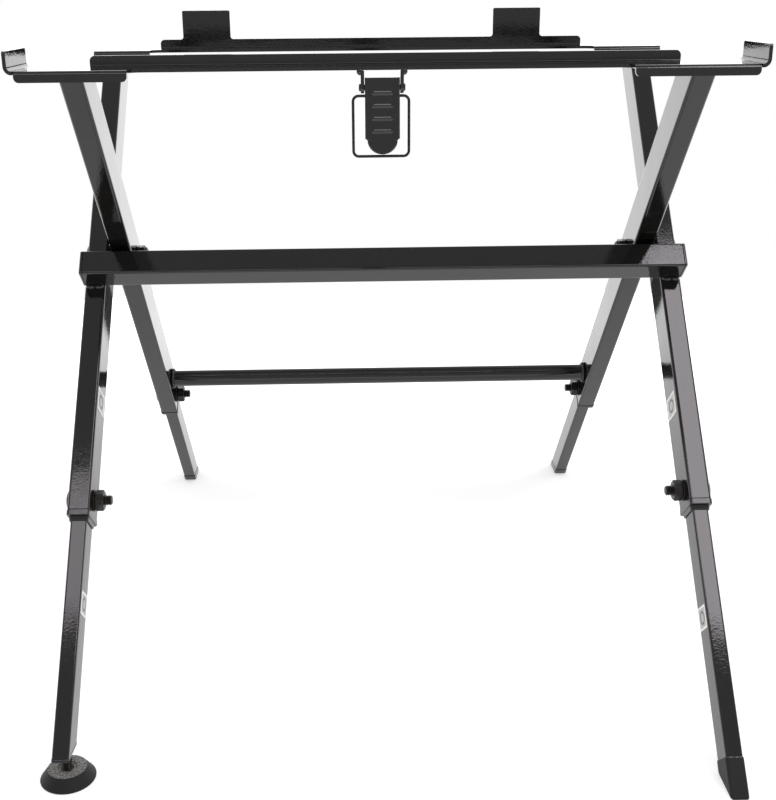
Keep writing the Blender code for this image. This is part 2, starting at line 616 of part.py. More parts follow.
def lever(parent):
    """The pressed thumb lever: a channel with four ribs across its face and a round tongue."""
    half = LEVER_WIDTH / 2
    face = LEVER_Y - LEVER_AXIS[0]
    top = LEVER_TOP - LEVER_AXIS[1]
    side_end = LEVER_SIDE_END - LEVER_AXIS[1]
    end = LEVER_END - LEVER_AXIS[1]
    tongue = half - 2.0 * MM
    height = side_end - end
    steps = 10
    curve = []
    for step in range(steps + 1):
        turn = math.pi * step / steps
        rise = math.sin(turn) ** 0.8 if 0 < step < steps else 0.0
        curve.append((-tongue * math.cos(turn), side_end - height * rise))
    outline = [(-half, top), (-half, side_end)] + curve + [(half, side_end), (half, top)]
    made = place("latch_lever", loft([[(x, y, z) for x, z in outline] for y in (face, face + LEVER_SHEET)]),
                 FINISH["paint"], parent)
    for word, side in SIDES:
        back = 4.5 * MM
        outline = [(face + 0.2 * MM, top - 0.6 * MM), (face + 0.2 * MM, side_end + 0.2 * MM),
                   (back - 6 * MM, side_end + 0.2 * MM), (back, side_end + 14 * MM),
                   (back, top - 4.0 * MM), (back - 3 * MM, top - 0.6 * MM)]
        across = (half - LEVER_SHEET, half - 0.02 * MM)
        wall = loft([[(side * x, y, z) for y, z in outline] for x in across])
        boolean(made, cutter(f"lever_side_{word}", wall, parent), "UNION")
    ribs = bmesh.new()
    for index in range(4):
        level = 559.2 * MM - 10.27 * MM * index - LEVER_AXIS[1]
        width = 8.8 * MM
        shape = [(face + 0.5 * MM, level + 1.6 * MM), (face + 0.5 * MM, level - 3.4 * MM),
                 (face, level - 3.2 * MM), (face - 0.9 * MM, level + 0.6 * MM), (face, level + 1.4 * MM)]
        rings = [[ribs.verts.new((x, y, z)) for y, z in shape] for x in (-width, width)]
        for step in range(len(shape)):
            after = (step + 1) % len(shape)
            ribs.faces.new((rings[0][step], rings[0][after], rings[1][after], rings[1][step]))
        ribs.faces.new(rings[0])
        ribs.faces.new(rings[1])
    boolean(made, cutter("lever_ribs", ribs, parent), "UNION")
    pin_hole = rod(PIN_RADIUS + GAP, -LEVER_WIDTH, LEVER_WIDTH, 16)
    boolean(made, cutter("lever_pin_hole", pin_hole, parent, (0, 0, 0), (0, math.pi / 2, 0)))
    wire_hole = rod(WIRE_RADIUS + GAP, -LEVER_WIDTH, LEVER_WIDTH, 16)
    boolean(made, cutter("lever_wire_hole", wire_hole, parent, BAIL_OFFSET, (0, math.pi / 2, 0)))


def bail(parent):
    """The wire loop that the lever draws tight, threaded through the lever's sides."""
    corner = 4.0 * MM
    half = BAIL_HALF_WIDTH
    route = arc((-half + corner, -corner), corner, 90, 180, 5)
    route += arc((-half + corner, -BAIL_LENGTH + corner), corner, 180, 270, 5)
    route += arc((half - corner, -BAIL_LENGTH + corner), corner, 270, 360, 5)
    route += arc((half - corner, -corner), corner, 0, 90, 5)
    shape = bmesh.new()
    steps = 10
    rings = []
    for index, (x, z) in enumerate(route):
        before = route[index - 1]
        after = route[(index + 1) % len(route)]
        run = math.hypot(after[0] - before[0], after[1] - before[1])
        outward = ((after[1] - before[1]) / run, -(after[0] - before[0]) / run)
        ring = []
        for step in range(steps):
            turn = math.tau * step / steps
            across = WIRE_RADIUS * math.cos(turn)
            ring.append(shape.verts.new((x + outward[0] * across, WIRE_RADIUS * math.sin(turn),
                                         z + outward[1] * across)))
        rings.append(ring)
    for ring, following in zip(rings, rings[1:] + rings[:1]):
        for step in range(steps):
            other = (step + 1) % steps
            shape.faces.new((ring[step], ring[other], following[other], following[step]))
    place("latch_bail", shape, FINISH["bolt"], parent)


def label(name, side, face_x, centre, size, parent):
    """A blank paper label on a tube's inner face."""
    width, length = size
    shape = extrude(rounded_rectangle(length, width, 1.0 * MM, 2), 0.15 * MM, 0.35 * MM)
    place(name, shape, FINISH["label"], parent, (side * face_x, *centre), (0, -side * math.pi / 2, 0))


def main():
    """Builds the whole stand."""
    clear_scene()
    FINISH.update({
        "paint": material("gloss_black_paint", (0.018, 0.017, 0.016), 0.12),
        "bolt": material("black_zinc_steel", (0.025, 0.025, 0.024), 0.35, 0.6),
        "plastic": material("black_plastic", (0.022, 0.021, 0.022), 0.42),
        "rubber": material("black_rubber", (0.030, 0.029, 0.029), 0.65),
        "label": material("blank_label", (0.75, 0.75, 0.74), 0.5)})
    stand = empty("stand", (0, 0, PIVOT_HEIGHT))
    outer = empty("outer_frame_tilt", (0, 0, 0), -LEG_TILT, stand)
    fold = empty("fold_axis", (0, 0, 0), 0.0, stand)
    inner = empty("inner_frame_tilt", (0, 0, 0), LEG_TILT, fold)
    rear_rail(stand)
    leg_set("front", OUTER_LEG_X, -LEG_TILT, OUTER_LEG_END, OUTER_CLAMP, OUTER_EXTENSION_TOP, outer)
    crossbar(outer)
    for word, side in SIDES:
        pivot(word, side, outer)
    levelling_foot(-1, OUTER_LEG_X, empty("levelling_base", (0, 0, -PIVOT_HEIGHT), 0.0, stand))
    front_rail(fold)
    leg_set("rear", INNER_LEG_X, LEG_TILT, INNER_LEG_END, INNER_CLAMP, INNER_EXTENSION_TOP, inner)
    round_bar(inner)
    latch(fold)
    upper_face = OUTER_LEG_X - LEG[0] / 2
    lower_face = OUTER_LEG_X - EXTENSION[0] / 2
    for word, side in SIDES:
        label(f"upper_label_{word}", side, upper_face, UPPER_LABEL_PLACE[word], UPPER_LABEL, outer)
        label(f"lower_label_{word}", side, lower_face, LOWER_LABEL_PLACE[word], LOWER_LABEL, outer)


if __name__ == "__main__":
    main()
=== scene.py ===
"""Folding tool stand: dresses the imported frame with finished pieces, materials, light and a camera.

Frame: metres, +Z up, -Y to the front rail, +X to the right. A leg's own frame has z up along the
leg from the pivot line, x across the stand and y to the leg's back.
"""
import json
import math

import bmesh
import bpy
import numpy as np
from bpy.props import FloatProperty, PointerProperty
from mathutils import Matrix, Vector


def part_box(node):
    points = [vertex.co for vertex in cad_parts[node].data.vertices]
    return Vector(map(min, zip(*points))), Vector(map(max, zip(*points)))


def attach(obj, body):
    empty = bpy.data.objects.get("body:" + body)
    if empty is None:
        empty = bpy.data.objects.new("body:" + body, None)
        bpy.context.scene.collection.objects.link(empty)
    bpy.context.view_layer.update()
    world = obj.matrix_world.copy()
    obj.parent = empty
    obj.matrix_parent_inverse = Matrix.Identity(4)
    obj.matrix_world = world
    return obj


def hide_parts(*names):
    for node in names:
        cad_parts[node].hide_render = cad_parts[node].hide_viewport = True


bl_info = {
    "name": "Folding Tool Stand",
    "version": (1, 0, 0),
    "blender": (4, 5, 0),
    "location": "View3D > Sidebar > Stand",
    "description": "Builds the finished pieces, materials and studio of a folding tool stand",
    "category": "Object",
}

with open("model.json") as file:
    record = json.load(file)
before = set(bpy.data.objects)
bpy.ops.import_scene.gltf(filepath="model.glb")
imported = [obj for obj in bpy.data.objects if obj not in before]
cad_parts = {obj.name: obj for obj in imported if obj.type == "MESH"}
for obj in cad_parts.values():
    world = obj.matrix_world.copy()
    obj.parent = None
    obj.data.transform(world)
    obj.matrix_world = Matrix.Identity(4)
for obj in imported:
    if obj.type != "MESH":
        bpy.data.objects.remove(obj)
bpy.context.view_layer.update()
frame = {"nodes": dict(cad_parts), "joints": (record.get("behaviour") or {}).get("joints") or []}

MM = 0.001
GAP = 0.3 * MM
SIDES = (("left", -1), ("right", 1))
FRAMES = ("front", "rear")
JOINTS = {joint["name"]: joint for joint in frame["joints"]}

# The pivot line and the legs' tilt, as the part's own joints state them
PIVOT = np.array(JOINTS["fold"]["pos_m"])
TILT = math.atan2(abs(JOINTS["extend_front_left"]["axis"][1]), -JOINTS["extend_front_left"]["axis"][2])
FRAME_TILT = {"front": -TILT, "rear": TILT}
UPPER_LEG = {"front": "outer_leg", "rear": "inner_leg"}
FRAME_BODY = {"front": "outer_frame", "rear": "inner_frame"}

# Tubes: width, depth and outside corner radius
LEG = (20.0 * MM, 38.1 * MM, 2.6 * MM)
EXTENSION = (14.8 * MM, 26.7 * MM, 2.0 * MM)
CROSSBAR = (25.4 * MM, 25.4 * MM, 2.2 * MM)
WALL = 1.2 * MM
CORNER_STEPS = 8

# Pressed rails, as flat blanks measured across the sheet from where the front bend starts
SHEET = 3.0 * MM
BEND = 2.5 * MM
BEND_STEPS = 8
SEAT_DEPTH = 64.0 * MM
DOWN_LIP = 9.0 * MM
NOTCH_DEPTH = 20.0 * MM
HOOK_BEND = 5.0 * MM
HOOK_HEIGHT = 15.5 * MM
BEND_ARC = BEND * math.pi / 2
LIP_END = -BEND_ARC - (DOWN_LIP - SHEET / 2 - BEND)
FLAT_FRONT = -SHEET / 2 - BEND
FLAT_BACK = SEAT_DEPTH - SHEET / 2 - BEND
WEB_FLAT = SEAT_DEPTH - 2 * BEND

# Where the lips and edges of the two rails start and end along x, and the height of the rear tabs
FRONT_LIPS = (-210.5 * MM, 198.7 * MM)
FRONT_EDGE = (252.0 * MM, -252.0 * MM)
FRONT_EDGE_HEIGHT = 8.5 * MM
REAR_LIPS = (-244.1 * MM, 234.8 * MM)
REAR_EDGE = (231.6 * MM, -241.0 * MM)
REAR_EDGE_HEIGHT = 9.0 * MM
TABS = ((132.0 * MM, 184.9 * MM), (-215.3 * MM, -162.4 * MM))
TAB_HEIGHT = 39.5 * MM

# Round bar and feet
BAR_RADIUS = 9.5 * MM
FRONT_TIP_JOINT = -502.7 * MM
REAR_TIP_HEIGHT = 9.3 * MM
PLUG_JOINT = -484.0 * MM
PLUG_SLOPE = 0.693
PAD_RADIUS = 23.7 * MM
PAD_TOP_RADIUS = 17.3 * MM

# Latch
WALL_END = 50.4 * MM
RIB_HEIGHT = 559.2 * MM
RIB_PITCH = 10.27 * MM
EAR_RADIUS = 4.8 * MM

# M10 fasteners
SHANK_RADIUS = 4.8 * MM
THREAD_DEPTH = 0.85 * MM
SCREW_STEPS = 48
HEAD_RADIUS = 10.0 * MM
NUT_FLATS = 17.0 * MM
WASHER = 1.5 * MM
NUT_HEIGHT = 8.0 * MM


def low(node):
    """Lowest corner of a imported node."""
    return np.array(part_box(node)[0])


def high(node):
    """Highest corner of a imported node."""
    return np.array(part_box(node)[1])


def middle(node):
    """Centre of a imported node's box."""
    return (low(node) + high(node)) / 2


def linear(colour):
    """A Principled colour from an sRGB hex string: each channel through the sRGB curve."""
    channels = [int(colour[start:start + 2], 16) / 255 for start in (1, 3, 5)]
    return tuple(c / 12.92 if c <= 0.04045 else ((c + 0.055) / 1.055) ** 2.4 for c in channels) + (1.0,)


# Surfaces


def from_leg(points, which):
    """Leg points to the world: turned by the frame's tilt about the pivot line."""
    tilt = FRAME_TILT[which]
    x, y, z = np.moveaxis(np.asarray(points, float), -1, 0)
    return np.stack([x, PIVOT[1] + y * math.cos(tilt) - z * math.sin(tilt),
                     PIVOT[2] + y * math.sin(tilt) + z * math.cos(tilt)], -1)


def leg_place(point, which):
    """A world point in the leg frame: the turn of from_leg undone."""
    tilt = FRAME_TILT[which]
    y, z = point[1] - PIVOT[1], point[2] - PIVOT[2]
    return np.array([point[0], y * math.cos(tilt) + z * math.sin(tilt),
                     z * math.cos(tilt) - y * math.sin(tilt)])


def on_x(points, side, origin):
    """Points made along z, laid along x: z goes outwards from the middle of the stand."""
    x, y, z = np.moveaxis(np.asarray(points, float), -1, 0)
    return np.stack([origin[0] + side * z, origin[1] + x, origin[2] + y], -1)


def arc(centre, radius, start, end, steps):
    """Points at equal turns from start to end degrees, both ends included."""
    turn = np.radians(np.linspace(start, end, steps + 1))
    return np.stack([centre[0] + radius * np.cos(turn), centre[1] + radius * np.sin(turn)], -1)


def rounded_outline(size, grow):
    """A rectangle's outline whose corners are quarter circles, grown outwards by grow."""
    radius = max(size[2] + grow, 0.2 * MM)
    across = size[0] / 2 + grow - radius
    along = size[1] / 2 + grow - radius
    centres = ((across, along), (-across, along), (-across, -along), (across, -along))
    return np.concatenate([arc(centre, radius, 90 * index, 90 * index + 90, CORNER_STEPS)
                           for index, centre in enumerate(centres)])


def carried(size, stations):
    """A rounded rectangle carried along z. Station (z, slope, grow) puts a point (x, y) of the
    outline grown by grow at height z + slope * y."""
    rings = []
    for z, slope, grow in stations:
        outline = rounded_outline(size, grow)
        rings.append(np.column_stack([outline, z + slope * outline[:, 1]]))
    return np.stack(rings)


def spun(radius, z, turn):
    """Points about z: (r cos a, r sin a, z), for a grid of radii with a row for each z."""
    radius = np.broadcast_to(radius, (len(z), len(turn)))
    return np.stack([radius * np.cos(turn), radius * np.sin(turn),
                     np.broadcast_to(z[:, None], radius.shape)], -1)


def stations(start, slope, shape):
    """Stations for carried(), from a start and one slope, with (z, grow) in millimetres."""
    return [(start + z * MM, slope, grow * MM) for z, grow in shape]


def full_turn(steps):
    """Equal turns right round, the last one short of the first."""
    return np.arange(steps) * math.tau / steps


def turned(profile, steps=SCREW_STEPS):
    """A (radius, z) profile turned about z."""
    radius, z = np.asarray(profile, float).T
    return spun(radius[:, None], z, full_turn(steps))


def along_path(path, radius, steps=12, closed=False):
    """A circle carried along a path: point = path + radius * (side * cos a + up * sin a), where side
    and up are carried from point to point without twist."""
    path = np.asarray(path, float)
    radius = np.broadcast_to(radius, len(path))
    if closed:
        tangent = np.roll(path, -1, 0) - np.roll(path, 1, 0)
    else:
        tangent = np.gradient(path, axis=0)
    tangent /= np.linalg.norm(tangent, axis=1)[:, None]
    guide = np.array([1.0, 0.0, 0.0]) if abs(tangent[0][0]) < 0.9 else np.array([0.0, 1.0, 0.0])
    side = np.empty_like(path)
    for index, direction in enumerate(tangent):
        guide = guide - direction * guide.dot(direction)
        guide /= np.linalg.norm(guide)
        side[index] = guide
    up = np.cross(tangent, side)
    turn = full_turn(steps)
    return (path[:, None] + radius[:, None, None] * (side[:, None] * np.cos(turn)[:, None]
                                                     + up[:, None] * np.sin(turn)[:, None]))


def grid_faces(shape, join_rows, join_columns):
    """Quads between a grid's neighbouring rows and columns, past its ends too where they join."""
    rows, columns = shape
    row = np.arange(rows if join_rows else rows - 1)[:, None]
    column = np.arange(columns if join_columns else columns - 1)
    after = (row + 1) % rows
    beside = (column + 1) % columns
    return np.stack([row * columns + column, row * columns + beside,
                     after * columns + beside, after * columns + column], -1).reshape(-1, 4)


def skin(points, loop=False):
    """A grid of rings as (points, faces). A loop joins the last ring to the first, else both ends get
    a cap. Faces are turned outwards by the sign of the enclosed volume, the sum of each face's scalar
    triple products."""
    rows, columns = points.shape[:2]
    quads = grid_faces((rows, columns), loop, True)
    flat = points.reshape(-1, 3)
    a, b, c, d = (flat[quads[:, corner]] for corner in range(4))
    volume = np.einsum("ij,ij->", a, np.cross(b, c)) + np.einsum("ij,ij->", a, np.cross(c, d))
    faces = quads.tolist()
    if not loop:
        first = list(range(columns))[::-1]
        last = [(rows - 1) * columns + index for index in range(columns)]
        for cap in (first, last):
            ring = flat[cap]
            volume += np.einsum("ij,ij->", np.cross(ring[1:-1], ring[2:]),
                                np.broadcast_to(ring[0], (columns - 2, 3)))
            faces.append(cap)
    if volume < 0:
        faces = [face[::-1] for face in faces]
    return flat, faces


def add_object(name, data):
    """Links a new object at the origin that holds a mesh or a camera."""
    made = bpy.data.objects.new(name, data)
    bpy.context.collection.objects.link(made)
    return made


def modify(made, name, kind, **settings):
    """Adds one modifier with its settings."""
    modifier = made.modifiers.new(name, kind)
    for key, value in settings.items():
        setattr(modifier, key, value)


def finish_piece(made, finish, body, replaced=(), angle=34.0):
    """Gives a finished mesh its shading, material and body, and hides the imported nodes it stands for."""
    mesh = made.data
    mesh.shade_smooth()
    mesh.set_sharp_from_angle(angle=math.radians(angle))
    mesh.materials.clear()
    mesh.materials.append(FINISHES[finish])
    modify(made, "flat faces stay flat", "WEIGHTED_NORMAL", keep_sharp=True, weight=60)
    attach(made, body)
    if replaced:
        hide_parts(*replaced)
    return made


def piece(name, skins, finish, body, replaced=(), angle=34.0):
    """One object from one or more skins, at the origin with its place in its mesh."""
    points = []
    faces = []
    start = 0
    for flat, quads in skins:
        points.append(flat)
        faces += [[index + start for index in face] for face in quads]
        start += len(flat)
    mesh = bpy.data.meshes.new(name)
    mesh.from_pydata(np.concatenate(points).tolist(), [], faces)
    mesh.update()
    return finish_piece(add_object(name, mesh), finish, body, replaced, angle)


# Materials

FINISHES = {}


def add_node(tree, kind, settings=(), links=()):
    """Adds one shader node. Settings are its properties or unlinked inputs, links feed its inputs. An
    input goes by its name, or by its number where a node has two of one name."""
    made = tree.nodes.new(kind)
    for key, value in dict(settings).items():
        if isinstance(key, str) and hasattr(made, key):
            setattr(made, key, value)
        else:
            made.inputs[key].default_value = value
    for key, socket in dict(links).items():
        tree.links.new(socket, made.inputs[key])
    return made


def new_finish(name, colour, roughness, metallic=0.0, ior=1.5):
    """A material with a Principled shader and its Object coordinates."""
    made = bpy.data.materials.new(name)
    made.use_nodes = True
    tree = made.node_tree
    shader = tree.nodes["Principled BSDF"]
    shader.inputs["Base Color"].default_value = linear(colour)
    shader.inputs["Roughness"].default_value = roughness
    shader.inputs["Metallic"].default_value = metallic
    shader.inputs["IOR"].default_value = ior
    place = add_node(tree, "ShaderNodeTexCoord").outputs["Object"]
    return made, tree, shader, place


def noise(tree, place, size, detail):
    """Noise with patches of about one size."""
    return add_node(tree, "ShaderNodeTexNoise", {"Scale": 1.0 / size, "Detail": detail},
                    {"Vector": place}).outputs["Fac"]


def ranged(tree, value, start, end, low_value=0.0, high_value=1.0, smooth=False):
    """A value taken from one range to another and held at its ends."""
    settings = {"From Min": start, "From Max": end, "To Min": low_value, "To Max": high_value,
                "interpolation_type": "SMOOTHSTEP" if smooth else "LINEAR"}
    return add_node(tree, "ShaderNodeMapRange", settings, {"Value": value}).outputs["Result"]


def calculate(tree, operation, *values):
    """One sum on values, each a socket or a number."""
    made = add_node(tree, "ShaderNodeMath", {"operation": operation})
    for number, value in enumerate(values):
        if isinstance(value, float):
            made.inputs[number].default_value = value
        else:
            tree.links.new(value, made.inputs[number])
    return made.outputs["Value"]


def mixed(tree, share, first, second):
    """A mix of two colours, each a socket or an sRGB string. The node has them at inputs 6 and 7, and
    its colour at output 2."""
    made = add_node(tree, "ShaderNodeMix", {"data_type": "RGBA"}, {0: share})
    for number, colour in ((6, first), (7, second)):
        if isinstance(colour, str):
            made.inputs[number].default_value = linear(colour)
        else:
            tree.links.new(colour, made.inputs[number])
    return made.outputs[2]


def relief(tree, place, shader, layers):
    """Stacks bumps: each layer is (pattern size in metres, detail, height in metres)."""
    below = None
    for size, detail, height in layers:
        links = {"Height": noise(tree, place, size, detail)}
        if below:
            links["Normal"] = below
        below = add_node(tree, "ShaderNodeBump", {"Strength": 1.0, "Distance": height},
                         links).outputs["Normal"]
    tree.links.new(below, shader.inputs["Normal"])


def mottle_roughness(tree, place, shader, size, values):
    """Varies the roughness between two values over patches of one size."""
    patches = noise(tree, place, size, 3.0)
    tree.links.new(ranged(tree, patches, 0.35, 0.65, *values), shader.inputs["Roughness"])


def mottle_colour(tree, place, shader, size, colours, detail=3.0, spread=(0.35, 0.65)):
    """Varies the base colour between two colours over patches of one size."""
    ramp = add_node(tree, "ShaderNodeValToRGB", {}, {"Fac": noise(tree, place, size, detail)})
    for element, position, colour in zip(ramp.color_ramp.elements, spread, colours):
        element.position = position
        element.color = linear(colour)
    tree.links.new(ramp.outputs["Color"], shader.inputs["Base Color"])


def powder_coat():
    """Gloss black powder coat, sprayed and baked: a hard mirror with fine orange peel."""
    made, tree, shader, place = new_finish("gloss black powder coat", "#121110", 0.05)
    # Orange peel is about 2 mm across and a few hundredths high. The slow wave is the tube's own wall.
    peel = bpy.context.scene.stand_sizes.orange_peel
    relief(tree, place, shader, [(30 * MM, 1.0, 0.15 * MM), (peel, 2.0, 0.045 * MM)])
    mottle_roughness(tree, place, shader, 6 * MM, (0.035, 0.08))
    mottle_colour(tree, place, shader, 1.6 * MM, ("#100f0e", "#191817"), 2.0, (0.55, 0.75))
    return made


def zinc():
    """Black zinc plate on steel fasteners: a thin dark metal film with a satin sheen."""
    made, tree, shader, place = new_finish("black zinc plated steel", "#232221", 0.3, 0.7)
    relief(tree, place, shader, [(0.8 * MM, 2.0, 0.02 * MM)])
    mottle_roughness(tree, place, shader, 3 * MM, (0.26, 0.44))
    mottle_colour(tree, place, shader, 4 * MM, ("#1b1a19", "#302e2c"))
    return made


def plastic():
    """Moulded black polypropylene: a fine spark-eroded grain that dulls the highlight."""
    made, tree, shader, place = new_finish("moulded black polypropylene", "#161516", 0.14, 0.0, 1.49)
    relief(tree, place, shader, [(0.9 * MM, 2.0, 0.015 * MM)])
    mottle_roughness(tree, place, shader, 5 * MM, (0.09, 0.2))
    return made


def rubber():
    """Moulded black rubber, matt, with grey dust where it faces up."""
    made, tree, shader, place = new_finish("moulded black rubber", "#0b0a0a", 0.6, 0.0, 1.4)
    relief(tree, place, shader, [(1.2 * MM, 3.0, 0.07 * MM)])
    normal = add_node(tree, "ShaderNodeTexCoord").outputs["Normal"]
    facing = add_node(tree, "ShaderNodeSeparateXYZ", {}, {"Vector": normal}).outputs["Z"]
    patches = ranged(tree, noise(tree, place, 1.4 * MM, 3.0), 0.3, 0.7)
    dust = calculate(tree, "MULTIPLY", ranged(tree, facing, 0.8, 0.97), patches)
    tree.links.new(mixed(tree, dust, "#0b0a0a", "#9c9b97"), shader.inputs["Base Color"])
    return made


def sticker():
    """Blank vinyl sticker: a white border round a grey field with a plain dark ring."""
    made, tree, shader, place = new_finish("white vinyl sticker", "#b9b8b6", 0.38, 0.0, 1.46)
    relief(tree, place, shader, [(2.5 * MM, 1.0, 0.03 * MM)])
    # The sticker's own map runs from -1 to 1 across and along it.
    printed = add_node(tree, "ShaderNodeUVMap", {"uv_map": "print"}).outputs["UV"]
    parts = add_node(tree, "ShaderNodeSeparateXYZ", {}, {"Vector": printed}).outputs
    edge = calculate(tree, "MAXIMUM", calculate(tree, "ABSOLUTE", parts["X"]),
                     calculate(tree, "ABSOLUTE", parts["Y"]))
    out = add_node(tree, "ShaderNodeVectorMath", {"operation": "LENGTH"}, {0: printed}).outputs["Value"]
    off_ring = calculate(tree, "ABSOLUTE", calculate(tree, "SUBTRACT", out, 0.5))
    field = mixed(tree, noise(tree, place, 1.5 * MM, 3.0), "#8d8c89", "#b5b4b1")
    inside = mixed(tree, ranged(tree, off_ring, 0.05, 0.15), "#3b3a39", field)
    whole = mixed(tree, ranged(tree, edge, 0.76, 0.84), inside, "#d9d8d5")
    tree.links.new(whole, shader.inputs["Base Color"])
    return made


# Legs


def tube_stations(low_end, top_end, top_slope=0.0, wall=WALL):
    """Stations of a tube with a square lower cut: up the outside, over the top edge, down the bore.
    Both cut edges are broken by a small round."""
    edge = 0.35 * MM
    outside = [(edge, 0.0), (0.3 * edge, -0.3 * edge), (0.0, -edge)]
    inside = [(0.0, -wall + edge), (edge, -wall)]
    rows = [(low_end + z, 0.0, grow) for z, grow in outside[::-1]]
    rows += [(top_end - z, top_slope, grow) for z, grow in outside + inside]
    return rows + [(low_end + z, 0.0, grow) for z, grow in inside[::-1]]


def leg_end(node):
    """How far along its leg a leg's square lower end lies, from the box's lowest point."""
    drop = low(node)[2] - PIVOT[2] + LEG[1] / 2 * math.sin(TILT)
    return drop / math.cos(TILT)


class STAND_OT_leg_tubes(bpy.types.Operator):
    """Builds the four upper leg tubes and the plastic sleeves at their lower ends"""
    bl_idname = "stand.leg_tubes"
    bl_label = "Upper legs and sleeves"

    def execute(self, context):
        for which in FRAMES:
            tilt = FRAME_TILT[which]
            for word, _side in SIDES:
                node = f"{UPPER_LEG[which]}_{word}"
                leg_x = middle(node)[0]
                end = leg_end(node)
                top = (high(node)[2] - PIVOT[2]) / math.cos(tilt)
                stations = tube_stations(end, top, -math.tan(tilt))
                if which == "front":
                    grid = self.coped(leg_x, stations, top, -math.tan(tilt))
                else:
                    grid = from_leg(carried(LEG, stations) + [leg_x, 0, 0], which)
                piece(f"{node}_tube", [skin(grid, loop=True)], "powder_coat", FRAME_BODY[which], [node])
                self.sleeve(which, word, leg_x, end)
        return {"FINISHED"}

    def coped(self, leg_x, stations, top, slope):
        """The outer leg: rows every millimetre near its top, whose points in front of the rail's lip
        are moved back behind it."""
        outer = [(top - z * MM, slope, 0.0) for z in range(14, 1, -1)]
        inner = [(top - z * MM, slope, -WALL) for z in range(2, 15)]
        rows = stations[:3] + outer + stations[3:8] + inner + stations[8:]
        grid = from_leg(carried(LEG, rows) + [leg_x, 0, 0], "front")
        behind = low("rear_rail")[1] + SHEET + GAP
        beside = grid[..., 2] > low("rear_rail")[2] - 2 * GAP
        grid[..., 1] = np.where(beside, np.maximum(grid[..., 1], behind), grid[..., 1])
        return grid

    def sleeve(self, which, word, leg_x, end):
        """The plastic sleeve: a plug in the tube, a proud rim and a tapered lip on the inner tube."""
        face = end - GAP
        outer = carried(LEG, stations(face, 0.0, [(5.3, -1.5), (0, -1.5), (0, 0.1), (-0.3, 0.5),
                                                  (-4.7, 0.5), (-5.2, 0.1)]))
        lip = carried(EXTENSION, stations(face, 0.0, [(-5.4, 1.9), (-8.9, 1.3), (-9.2, 1.0),
                                                      (-9.2, 0.15), (5.3, 0.15)]))
        grid = from_leg(np.concatenate([outer, lip]) + [leg_x, 0, 0], which)
        node = f"leg_bushing_{which}_{word}"
        piece(f"{node}_sleeve", [skin(grid, loop=True)], "plastic", FRAME_BODY[which], [node])


class STAND_OT_extension_tubes(bpy.types.Operator):
    """Builds the four slotted inner tubes that slide out of the legs"""
    bl_idname = "stand.extension_tubes"
    bl_label = "Extension tubes"

    def execute(self, context):
        for which in FRAMES:
            for word, _side in SIDES:
                node = f"extension_leg_{which}_{word}"
                made = merged_copy(node, f"{node}_tube")
                finish_piece(made, "powder_coat", f"lower_leg_{which}_{word}", [node])
        return {"FINISHED"}


def merged_copy(node, name):
    """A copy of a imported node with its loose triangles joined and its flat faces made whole."""
    mesh = frame["nodes"][node].data.copy()
    shape = bmesh.new()
    shape.from_mesh(mesh)
    bmesh.ops.remove_doubles(shape, verts=shape.verts, dist=2e-6)
    bmesh.ops.dissolve_limit(shape, angle_limit=math.radians(0.4), verts=shape.verts, edges=shape.edges)
    shape.to_mesh(mesh)
    shape.free()
    mesh.name = name
    return add_object(name, mesh)


# Rails


def rail_end(x, side, hooked):
    """One end of a rail's flat blank, from its front lip to the back of its seat, in (x, s)."""
    corner = 4.0 * MM
    edge = x - 1.0 * MM if hooked else x
    points = arc((edge - corner, LIP_END + corner), corner, 270, 360, 6)
    if hooked:
        flat = HOOK_BEND * math.pi / 2 + HOOK_HEIGHT + SHEET / 2 - HOOK_BEND
        tip = 2.0 * MM
        extra = [(edge, 0.0), (x, 0.0), (x, FLAT_FRONT)]
        front = arc((x + flat - tip, FLAT_FRONT + tip), tip, 270, 360, 4)
        back = arc((x + flat - tip, FLAT_BACK - tip), tip, 0, 90, 4)
        points = np.concatenate([points, extra, front, back])
    else:
        points = np.concatenate([points, [(x, FLAT_BACK)]])
    return points * [side, 1]


def blank(left, right, lips, upper_edge, hooked):
    """A rail's flat blank: front lips with a notch between them, ends, and the lip behind."""
    corner = 4.0 * MM
    fillet = 8.0 * MM
    notch = NOTCH_DEPTH - SHEET / 2 - BEND
    lip = LIP_END + corner
    relief_cut = 1.0 * MM
    first, last = upper_edge[0][0], upper_edge[-1][0]
    upper = np.array(upper_edge) + [0.0, WEB_FLAT + BEND_ARC]
    return np.concatenate([
        rail_end(-left, -1, hooked)[::-1],
        arc((lips[0] - corner, lip), corner, 270, 360, 6),
        arc((lips[0] + fillet, notch - fillet), fillet, 180, 90, 8),
        arc((lips[1] - fillet, notch - fillet), fillet, 90, 0, 8),
        arc((lips[1] + corner, lip), corner, 180, 270, 6),
        rail_end(right, 1, hooked),
        [(first + relief_cut, FLAT_BACK), (first + relief_cut, WEB_FLAT), (first, WEB_FLAT)],
        upper,
        [(last, WEB_FLAT), (last - relief_cut, WEB_FLAT), (last - relief_cut, FLAT_BACK)]])


